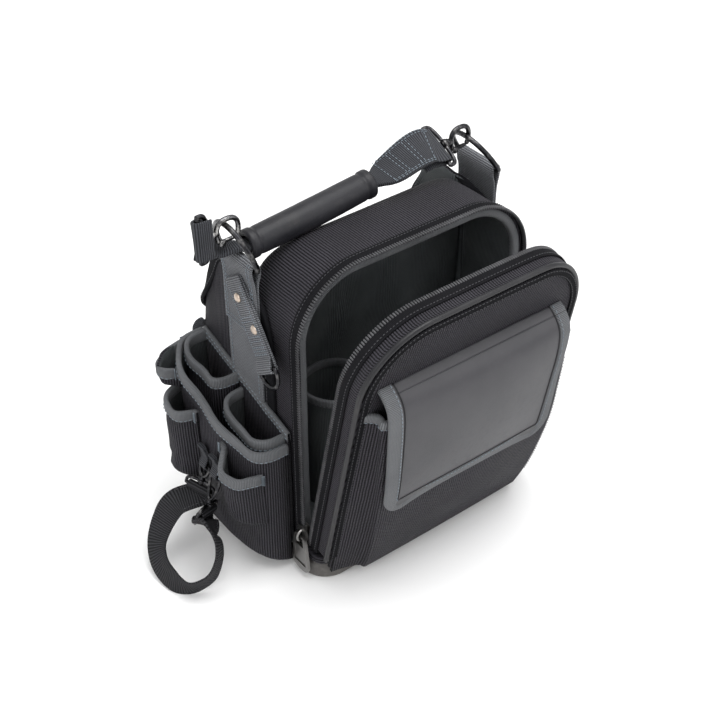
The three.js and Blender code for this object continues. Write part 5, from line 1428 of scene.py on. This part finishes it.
# Front pocket: each row runs from the seam near the door's edge out along the left gusset, across the front
# and back along the right one; the gussets sink inwards, the foot is tucked under and the front swells by
# half a sine and hangs in waves
def makeFrontPocket():
    p, face = pocketLook, doorLook["face"] - 0.3
    reach = spline(pocketOut, 120)
    rows = []
    levels = np.r_[np.zeros(4), np.linspace(0, 1, 44)[1:]]
    tuck = np.r_[np.linspace(0.1, 1, 4), np.ones(43)]
    g, q = np.linspace(0, 1, 14), np.linspace(0, math.pi / 2, 6)[1:]
    for level, pull in zip(levels, tuck):
        z = p["foot"] + (p["top"] - p["foot"]) * level
        out = np.interp(z, *reach.T) * pull
        left, right = (p["foot" + side] + (p["top" + side] - p["foot" + side]) * level**0.8
                       for side in ("Left", "Right"))
        r = min(p["round"], out * 0.6)
        sink = p["pleat"] * np.sin(math.pi * g) * pull
        ends = []
        for half in (left, right):
            gusset = np.stack([-p["seam"] + (p["seam"] - half) * g + sink, -g * (out - r)], -1)
            corner = np.stack([-half + r - r * np.cos(q), -(out - r) - r * np.sin(q)], -1)
            ends.append(np.vstack([gusset, corner]))
        front = np.stack([np.linspace(-left + r, right - r, 66)[1:-1], np.full(64, -out)], -1)
        line = np.vstack([ends[0], front, ends[1][::-1] * [-1, 1]])
        inFront = np.clip(-line[:, 1] / max(out, 1), 0, 1) ** 3
        middle = np.clip(1 - (line[:, 0] / right) ** 2, 0, 1)
        wave = ripple(line[:, 0] / 190, level * 1.1, 55, 6, 2.0)
        wave = wave * p["wrinkle"] * math.sin(math.pi * min(1, level * 1.3))
        swell = p["bulge"] * math.sin(math.pi * min(level * 0.9 + 0.05, 1)) * middle * pull
        y = face + line[:, 1] + (wave + 0.8 - swell) * inFront
        rows.append(np.stack([line[:, 0], y, z - p["dip"] * level**3 * inFront * middle], -1))
    grid = np.array(rows)
    grid[..., 1] = np.minimum(grid[..., 1], face - 0.2)
    core = np.array([0, doorLook["face"] - 2, 130.0])
    place(cloth("frontPocket", onDoor(grid), p["thick"], ballistic, lining, core=onDoor(core)), "door",
          "ballistic", "front_pocket")
    n = gridNormals(grid)
    n = n * (1 if (n * (grid - core)).sum() > 0 else -1)
    outs = unit(n[-1] * [1, 1, 0])
    middle = grid[-1] - outs * p["thick"] / 2
    zero = onDoor(np.zeros(3))
    turnedOut, down = onDoor(outs) - zero, onDoor(np.array([0, 0, -1.0])) - zero
    bind("frontPocketBinding", onDoor(middle), turnedOut, down, p["tape"], p["thick"] + 1.8, binding, "door",
         "webbing", 0.3, 61)
    sewEdge("frontPocketStitches", onDoor(middle), turnedOut, down, p["tape"] - 3, p["thick"] / 2 + 0.85,
            paleThread, "door", "webbing", 4.2, 0.3, 61)
    for side, column in ((-1, 16), (1, -17)):
        ridge = grid[8:-6, column] + n[8:-6, column] * 0.1
        word = "Left" if side < 0 else "Right"
        place(stitches("pocketFold" + word, onDoor(ridge), onDoor(n[8:-6, column]) - zero, darkThread, 3.8),
              "door", "ballistic")


makeFrontPocket()

flapLook = {"topLeft": -109.0, "topRight": 97.0, "footLeft": -103.0, "footRight": 86.0, "line": 265.0,
            "out": 34.0, "drop": 134.0, "thick": 3.0, "corner": 17.0, "crown": 7.0, "tape": 13.5,
            "tapeThick": 4.6, "split": 0.3}


# Outline of the flap from the side: distance in front of the door's face, and height. It leaves the face
# along its seam, slopes away and turns over a wide soft fold until it hangs
def flapSide(count):
    f = flapLook
    stops = [(0.6, 2.6), (5, 1.4), (10, -1.8), (14.5, -6), (18, -11.5), (20.4, -19), (23, -34), (26.6, -64),
             (30.6, -98), (f["out"], -f["drop"])]
    return evenly(spline(stops, 200) + [0, f["line"]], count)


# The flap as a grid: columns across, rows down the side outline; it narrows towards the foot, round corners
# take the last rows in, and the hanging face bows out in both directions
def flapGrid():
    f = flapLook
    side = flapSide(96)
    length = np.r_[0, np.cumsum(np.linalg.norm(np.diff(side, axis=0), axis=1))]
    near = np.clip(f["corner"] - (length[-1] - length), 0, None)
    hang = np.clip((f["line"] - side[:, 1]) / f["drop"], 0, 1)
    turnIn = np.where(near > 0, f["corner"] - np.sqrt(np.maximum(f["corner"] ** 2 - near**2, 0)), 0)
    left = f["topLeft"] + (f["footLeft"] - f["topLeft"]) * hang + turnIn
    pull = 2.0 * np.sin(2 * math.pi * hang * 1.2) * (1 - hang)
    right = f["topRight"] + (f["footRight"] - f["topRight"]) * hang - turnIn + pull
    across = np.linspace(-1, 1, 61)[None]
    hang = hang[:, None]
    x = left[:, None] + (right - left)[:, None] * (across + 1) / 2
    bow = f["crown"] * np.sin(math.pi * hang**0.8) * (1 - across**2) ** 0.8
    wave = ripple(hang * 0.9, across * 0.5, 71, 5, 1.4) * 1.6 * hang
    curl = 2.4 * hang**3 * (1 - np.abs(across) ** 3)
    y = doorLook["face"] - side[:, :1] - bow - wave + curl
    return np.stack([x, y, np.broadcast_to(side[:, 1:], x.shape)], -1)


# The flap's two pieces share one grid, cut on the fold. A folded tape binds the free edges, with a row of
# stitches, and a thin dark cord of painted shadow lies where the tape ends, along the grid's fifth column
# from each side and its ninth row from the foot
def makeFlap():
    f = flapLook
    grid = flapGrid()
    cut = int(np.argmin(abs(doorLook["face"] - grid[:, 30, 1] - f["out"] * f["split"])))
    core = np.array([0, doorLook["face"] - f["out"] + 12, f["line"] - 40])
    n = gridNormals(grid)
    n = n * (1 if (n[60:] * (grid[60:] - core)).sum() > 0 else -1)
    rim = np.vstack([grid[:, 0], grid[-1, 1:-1], grid[::-1, -1]])
    rimOut = unit(np.vstack([n[:, 0], n[-1, 1:-1], n[::-1, -1]]))
    into = unit(np.cross(rimOut, unit(np.gradient(rim, axis=0))))
    into = into * np.sign((into * (np.array([0, rim[:, 1].mean(), 200.0]) - rim)).sum(-1).mean())
    last = len(rim) - 1

    def turn(vectors):
        return onDoor(vectors) - onDoor(np.zeros(3))

    def addFlap(word, rows, middle, rimParts, shadowLines):
        pieces = [cloth("flap" + word, onDoor(grid[rows]), f["thick"], coated, lining, core=onDoor(middle),
                        normals=turn(n[rows]))]
        for number, part in enumerate(rimParts):
            edge, o, d = rim[part] - rimOut[part] * f["thick"] / 2, rimOut[part], into[part]
            section = tapeSection(f["tapeThick"], f["tape"], 16, 0.4)
            tape = onDoor(edge + d * (f["tape"] / 2 - 1.4))
            pieces.append(carry(f"flap{word}Binding{number}", tape, turn(o), turn(d), section, binding))
            sew = onDoor(edge + d * (f["tape"] - 3.4) + o * (f["tapeThick"] / 2 - 0.1))
            pieces.append(stitches(f"flap{word}Stitches{number}", sew, turn(o), paleThread, 4.0))
        # Painted shadow: a thin cord of the black piping rubber, laid on the cloth along the tape's inner
        # edge
        for number, part in enumerate(shadowLines):
            shadow = onDoor(part[0] + part[1] * 0.15)
            a, b = sides(shadow, turn(part[1]))
            pieces.append(carry(f"flap{word}Shadow{number}", shadow, a, b, roundSection(0.7, 8),
                                pipingRubber))
        return pieces

    headShadowLines = [(grid[:cut + 1, column], n[:cut + 1, column]) for column in (4, -5)]
    around = [np.vstack([g[cut:-9, 4], g[-9, 4:-4], g[cut:-9, -5][::-1]]) for g in (grid, n)]
    head = addFlap("Head", slice(0, cut + 1), core - [0, 0, 60],
                   [slice(0, cut + 1), slice(last - cut, last + 1)], headShadowLines)
    panel = addFlap("Panel", slice(cut, None), core, [slice(cut, last - cut + 1)], [around])
    spots = [(0.5, f["line"]), (7.0, f["line"]), (f["out"] * 0.62, f["line"]), (f["out"], f["line"] - 16)]
    spots = [tuple(onDoor(np.array([0, doorLook["face"] - away, z])) * mm) for away, z in spots]
    for piece in head:
        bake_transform(piece)
    for piece in panel:
        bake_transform(piece)
    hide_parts("flap_top")
    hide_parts("flap_front")


makeFlap()
print("stage: door, pocket and flap made")

canLook = {"radius": 34.0, "top": 166.0, "foot": 34.6, "thick": 2.6, "tape": 8.0, "places": (-58.0, 80.0),
           "words": ("Left", "Right")}


# Inner pocket: a round cup of cloth standing against the back of the case, its rim bound all the way round
def makeCanPockets():
    c = canLook
    middle = caseSize["back"] - caseSize["wall"] - 2.8 - c["radius"]
    t = np.linspace(0, 2 * math.pi, 73)[:-1]
    for number, (x, word) in enumerate(zip(c["places"], c["words"])):
        level = np.linspace(0, 1, 30)[:, None]
        top = c["top"] - 2.5 * np.sin(t - 0.6) ** 2
        z = c["foot"] + (top[None] - c["foot"]) * level
        dent = ripple(level * 1.2 + 0 * z, np.cos(t)[None] + 0 * z, 80 + number)
        radius = c["radius"] - 1.5 - np.abs(dent * 2.2 * np.sin(math.pi * level))
        grid = np.stack([x + radius * np.cos(t), middle + radius * np.sin(t), z], -1)
        core = np.array([x, middle, 100.0])
        cup = cloth("innerPocket" + word, grid, c["thick"], cupLining, core=core, closeCols=True)
        place(cup, "bag", "lining", "inner_pocket_" + word.lower())
        out = np.stack([np.cos(t), np.sin(t), 0 * t], -1)
        edge = grid[-1] - out * c["thick"] / 2
        bind("innerPocketBinding" + word, edge, out, [0, 0, -1], c["tape"], 4.4, binding, "bag", "webbing",
             closed=True)
        sewEdge("innerPocketStitches" + word, edge, out, [0, 0, -1], c["tape"] - 3, 2.15, darkThread, "bag",
                "webbing", 4.2)


makeCanPockets()


liningLook = {"half": 116, "foot": 38, "top": 292, "corner": 62, "straight": 56, "calm": 0.3, "folds": 5.0,
              "foldFoot": 150, "foldHigh": 50}


# Lining on the back of the case: hangs in soft folds above the pockets and lies flat behind them. Beyond the
# straight part its top comes down as a circle does
def makeCaseLining():
    c, k = caseSize, liningLook
    x = np.linspace(-k["half"], k["half"], 110)
    fall = np.sqrt(k["corner"] ** 2 - np.clip(abs(x) - k["straight"], 0, None) ** 2)
    top = k["top"] - k["corner"] + fall
    z = k["foot"] + (top[None] - k["foot"]) * np.linspace(0, 1, 90)[:, None]
    gx = np.broadcast_to(x, z.shape)
    amount = k["calm"] + k["folds"] * np.clip((z - k["foldFoot"]) / k["foldHigh"], 0, 1)
    folds = ripple(gx / 130, z / 500, 93, 7, 2.4) + 0.5 * ripple(gx / 60, z / 160, 94, 5, 2.0)
    grid = np.stack([gx, c["back"] - c["wall"] - 2.2 - amount * (1 + folds) / 1.5, z], -1)
    place(cloth("caseLining", grid, 1.2, lining, core=np.array([0, 60.0, 160])), "bag", "lining")


makeCaseLining()

tapeLook = {"barHeight": 99.0, "barOut": 177.5, "tabWide": 10.0, "tabTop": 124.0, "thick": 2.2, "wire": 1.6,
            "wide": 25.0, "places": {"back": 87.5, "front": 69.3}, "eye": {"back": 12.0, "front": 26.0},
            "turn": {"back": 24.0, "front": -66.0}, "lean": 20.0,
            "swivel": {"shank": 2.0, "pin": 1.3, "boss": 3.2, "radius": 3.6, "head": 1.4, "reach": 8.2,
                       "loop": 1.6, "webbing": 25.0}}

# Way of the hanging loop: X, place behind the zip, height, and the direction of the strap's width
tapeWay = [(-208, 96, 63, 0.44, -0.86, -0.25), (-221, 99, 46, 0.36, -0.92, 0.05),
           (-234, 93, 28, 0.30, -0.86, 0.40), (-241, 76, 17, 0.32, -0.66, 0.68),
           (-240, 53, 13, 0.24, -0.44, 0.86), (-231, 37, 14, -0.10, -0.42, 0.90),
           (-217, 28, 24, -0.36, -0.36, 0.86), (-206, 29, 39, -0.52, -0.44, 0.73),
           (-200, 37, 53, -0.56, -0.52, 0.65), (-200, 51, 59, -0.4, -0.6, 0.7)]


# Turn about Y after a turn about X, as matrices acting on rows of points
def turnedFrame(turnY, turnX):
    y, x = math.radians(turnY), math.radians(turnX)
    aroundY = np.array([[math.cos(y), 0, math.sin(y)], [0, 1, 0], [-math.sin(y), 0, math.cos(y)]])
    aroundX = np.array([[1, 0, 0], [0, math.cos(x), -math.sin(x)], [0, math.sin(x), math.cos(x)]])
    return aroundY @ aroundX


# Tape strap: two sewn tabs, each with a small swivel hook whose loop carries one end of a webbing that hangs
# down and turns over along its way. At both ends the webbing is doubled and wrapped round the loop's bar
def makeTapeStrap():
    t = tapeLook
    fold = t["wire"] + 0.5 + t["thick"] / 2
    ends = {}
    for end in ("back", "front"):
        y = zipY + t["places"][end]
        centre = np.array([-t["barOut"], y, t["barHeight"]])
        line = spline([(-1.2, t["tabTop"] - t["barHeight"]), (2.0, 12), (fold, 3), (fold, 0), (0, -fold),
                       (-fold, 0), (-fold, 3), (0.3, 12), (-3.4, t["tabTop"] - t["barHeight"])], 70)
        path = centre + np.stack([line[:, 0], np.zeros(70), line[:, 1]], -1)
        a = np.cross(unit(np.gradient(path, axis=0)), [0, 1.0, 0])
        word = end.capitalize()
        tab = carry("tapeTab" + word, path, a, np.array([0, 1.0, 0]),
                    tapeSection(t["thick"] * 0.9, t["tabWide"], 16, 0.25), webbing)
        place(tab, "bag", "webbing", "tape_tab_" + end)
        hang = turnedFrame(t["lean"] - 90, 0)
        turn = turnedFrame(t["lean"] - 90, t["turn"][end])
        eye = bowWire(t["tabWide"] / 2 + 0.5 + 1.5, t["eye"][end], 1.5, 72)
        eyePoints = np.stack([-eye[:, 1], eye[:, 0], np.zeros(72)], -1) @ hang.T + centre
        spec = {**t["swivel"], "start": t["eye"][end] + t["wire"]}
        eyeWire = wire("tapeEye" + word, eyePoints, t["wire"], blackMetal, hang @ [0, 0, 1.0], count=12)
        shaft = stem("tapeStem" + word, spec, t["wire"], centre, hang @ [-1.0, 0, 0], blackMetal)
        place(joined("tapeHook" + word, [eyeWire, shaft]), "tape_hanger", "black_metal", "tape_hook_" + end)
        loop = swivelLoop("tapeLoop" + word, spec, lambda p: np.asarray(p, float) @ turn.T + centre,
                          blackMetal)
        place(loop, "tape_hanger", "black_metal", "tape_loop_" + end)
        bar = swivelPlaces(spec)["bar"]
        ends[end] = {"at": hang @ [-bar, 0, 0] + centre, "along": turn @ [0, 1.0, 0],
                     "down": hang @ [-1.0, 0, 0]}
    back, front = ends["back"], ends["front"]

    def near(end, away):
        return end["at"] + end["down"] * (fold + away)

    stops = [(*near(back, -1), *-back["along"]), (*near(back, 3), *-back["along"])]
    stops += [(x, zipY + behind, z, *wide) for x, behind, z, *wide in tapeWay]
    stops += [(*near(front, 6), *-front["along"]), (*near(front, -1), *-front["along"])]
    line = spline(stops, 260)
    path, wide = line[:, :3], line[:, 3:]
    along = unit(np.gradient(path, axis=0))
    wide = unit(wide - (wide * along).sum(-1, keepdims=True) * along)
    s = np.linspace(0, 1, 260)
    thick = 1 + np.clip(1 - np.minimum(s, 1 - s) / 0.14, 0, 1) ** 0.3
    strap = carry("tapeStrap", path, np.cross(along, wide), wide,
                  tapeSection(t["thick"], t["wide"], 24, 0.25), blackWebbing,
                  scale=np.stack([thick, np.ones(260)], -1))
    parts = [strap]
    angles = np.linspace(0, 2 * math.pi, 40, endpoint=False)
    for end in (back, front):
        side = unit(end["along"])
        first = unit(np.cross(side, end["down"]))
        second = np.cross(side, first)
        ring = end["at"] + fold * (np.cos(angles)[:, None] * first + np.sin(angles)[:, None] * second)
        out = unit(ring - end["at"])
        parts.append(carry("eyeWrap", ring, out, side, tapeSection(t["thick"], t["wide"], 16, 0.25),
                           blackWebbing, closed=True))
    place(joined("tapeStrap", parts), "tape_hanger", "zipper", "tape_strap")
    normal = np.cross(along, wide)
    for word, rows in (("Back", slice(3, 26)), ("Front", slice(234, 257))):
        for sign in (-1, 1):
            for row, at in enumerate((-10, 10)):
                edge = path[rows] + wide[rows] * at + normal[rows] * sign * (t["thick"] + 0.2)
                place(stitches(f"tapeStitches{word}{row}{sign + 1}", edge, normal[rows] * sign, darkThread,
                               3.6), "tape_hanger", "zipper")


makeTapeStrap()
print("stage: inner pockets and tape strap made")


rivetLook = {"side": 130.2, "along": (-40, 44), "rear": 86.2, "across": 90, "height": 24.5,
             "dome": [(0, 1.7), (1.3, 1.6), (2.6, 1.1), (3.2, 0.4), (3.3, 0.0), (0, 0)]}


# Rivets that hold the base: low domes, two on each side and two on the back
def baseRivets():
    r = rivetLook
    spots = [((side * r["side"], y, r["height"]), (side, 0, 0)) for side in (-1, 1) for y in r["along"]]
    spots += [((side * r["across"], r["rear"], r["height"]), (0, 1, 0)) for side in (-1, 1)]
    for number, (spot, axis) in enumerate(spots):
        place(turned(f"baseRivet{number}", r["dome"], spot, axis, nickel, 20), "bag", "zip_metal")


baseRivets()

# Finishes of the pieces that stay as they were made
for node, material in (("base_tray", basePlastic), ("zip_slider", zipMetal), ("pull_tab", zipMetal)):
    piece = frame["nodes"][node]
    piece.data.materials.clear()
    piece.data.materials.append(material)

view = {"azimuth": -37.9, "elevation": 38.0, "lens": 68.0, "target": (-0.065, -0.063, 0.222),
        "distance": 1.18}


def aim(holder, toward):
    holder.rotation_euler = mathutils.Vector(tuple(toward)).to_track_quat("-Z", "Y").to_euler()


# Soft studio: a pale floor, a bright even surround, one large light above and two at the sides
def makeStudio():
    world = bpy.data.worlds.new("paleRoom")
    bpy.context.scene.world = world
    world.use_nodes = True
    world.node_tree.nodes["Background"].inputs[0].default_value = rgb(1.0, 1.0, 1.0)
    world.node_tree.nodes["Background"].inputs[1].default_value = 0.82
    half = 4000
    corners = np.array([[-half, -half, 0], [half, -half, 0], [half, half, 0], [-half, half, 0.0]])
    floor = makeMesh("paleFloor", corners, [[0, 1, 2, 3]], [])
    material, _, shader, _ = newMaterial("paleFloor")
    shader.inputs["Base Color"].default_value = rgb(0.9, 0.9, 0.9)
    shader.inputs["Roughness"].default_value = 0.9
    floor.data.materials.append(material)
    lights = (("above", (0.2, -0.3, 2.2), 1.6, 42.0), ("left", (-1.9, -0.6, 1.3), 1.2, 11.0),
              ("right", (1.4, -1.8, 1.2), 1.2, 12.0))
    for name, spot, size, power in lights:
        lamp = bpy.data.lights.new(name, "AREA")
        lamp.energy, lamp.size = power, size
        holder = bpy.data.objects.new(name, lamp)
        bpy.context.scene.collection.objects.link(holder)
        holder.location = spot
        aim(holder, np.array([0, 0, 0.18]) - np.array(spot))


# Camera: looks at the target from its distance, azimuth and elevation
def makeCamera():
    camera = bpy.data.cameras.new("studioCamera")
    camera.lens, camera.sensor_width, camera.sensor_fit = view["lens"], 36.0, "AUTO"
    holder = bpy.data.objects.new("studioCamera", camera)
    bpy.context.scene.collection.objects.link(holder)
    a, e = math.radians(view["azimuth"]), math.radians(view["elevation"])
    back = np.array([math.sin(a) * math.cos(e), -math.cos(a) * math.cos(e), math.sin(e)])
    holder.location = tuple(np.array(view["target"]) + back * view["distance"])
    aim(holder, -back)
    bpy.context.scene.camera = holder


makeStudio()
makeCamera()
bpy.context.scene.view_settings.view_transform = "Standard"
bpy.context.view_layer.update()
print("stage: all made")
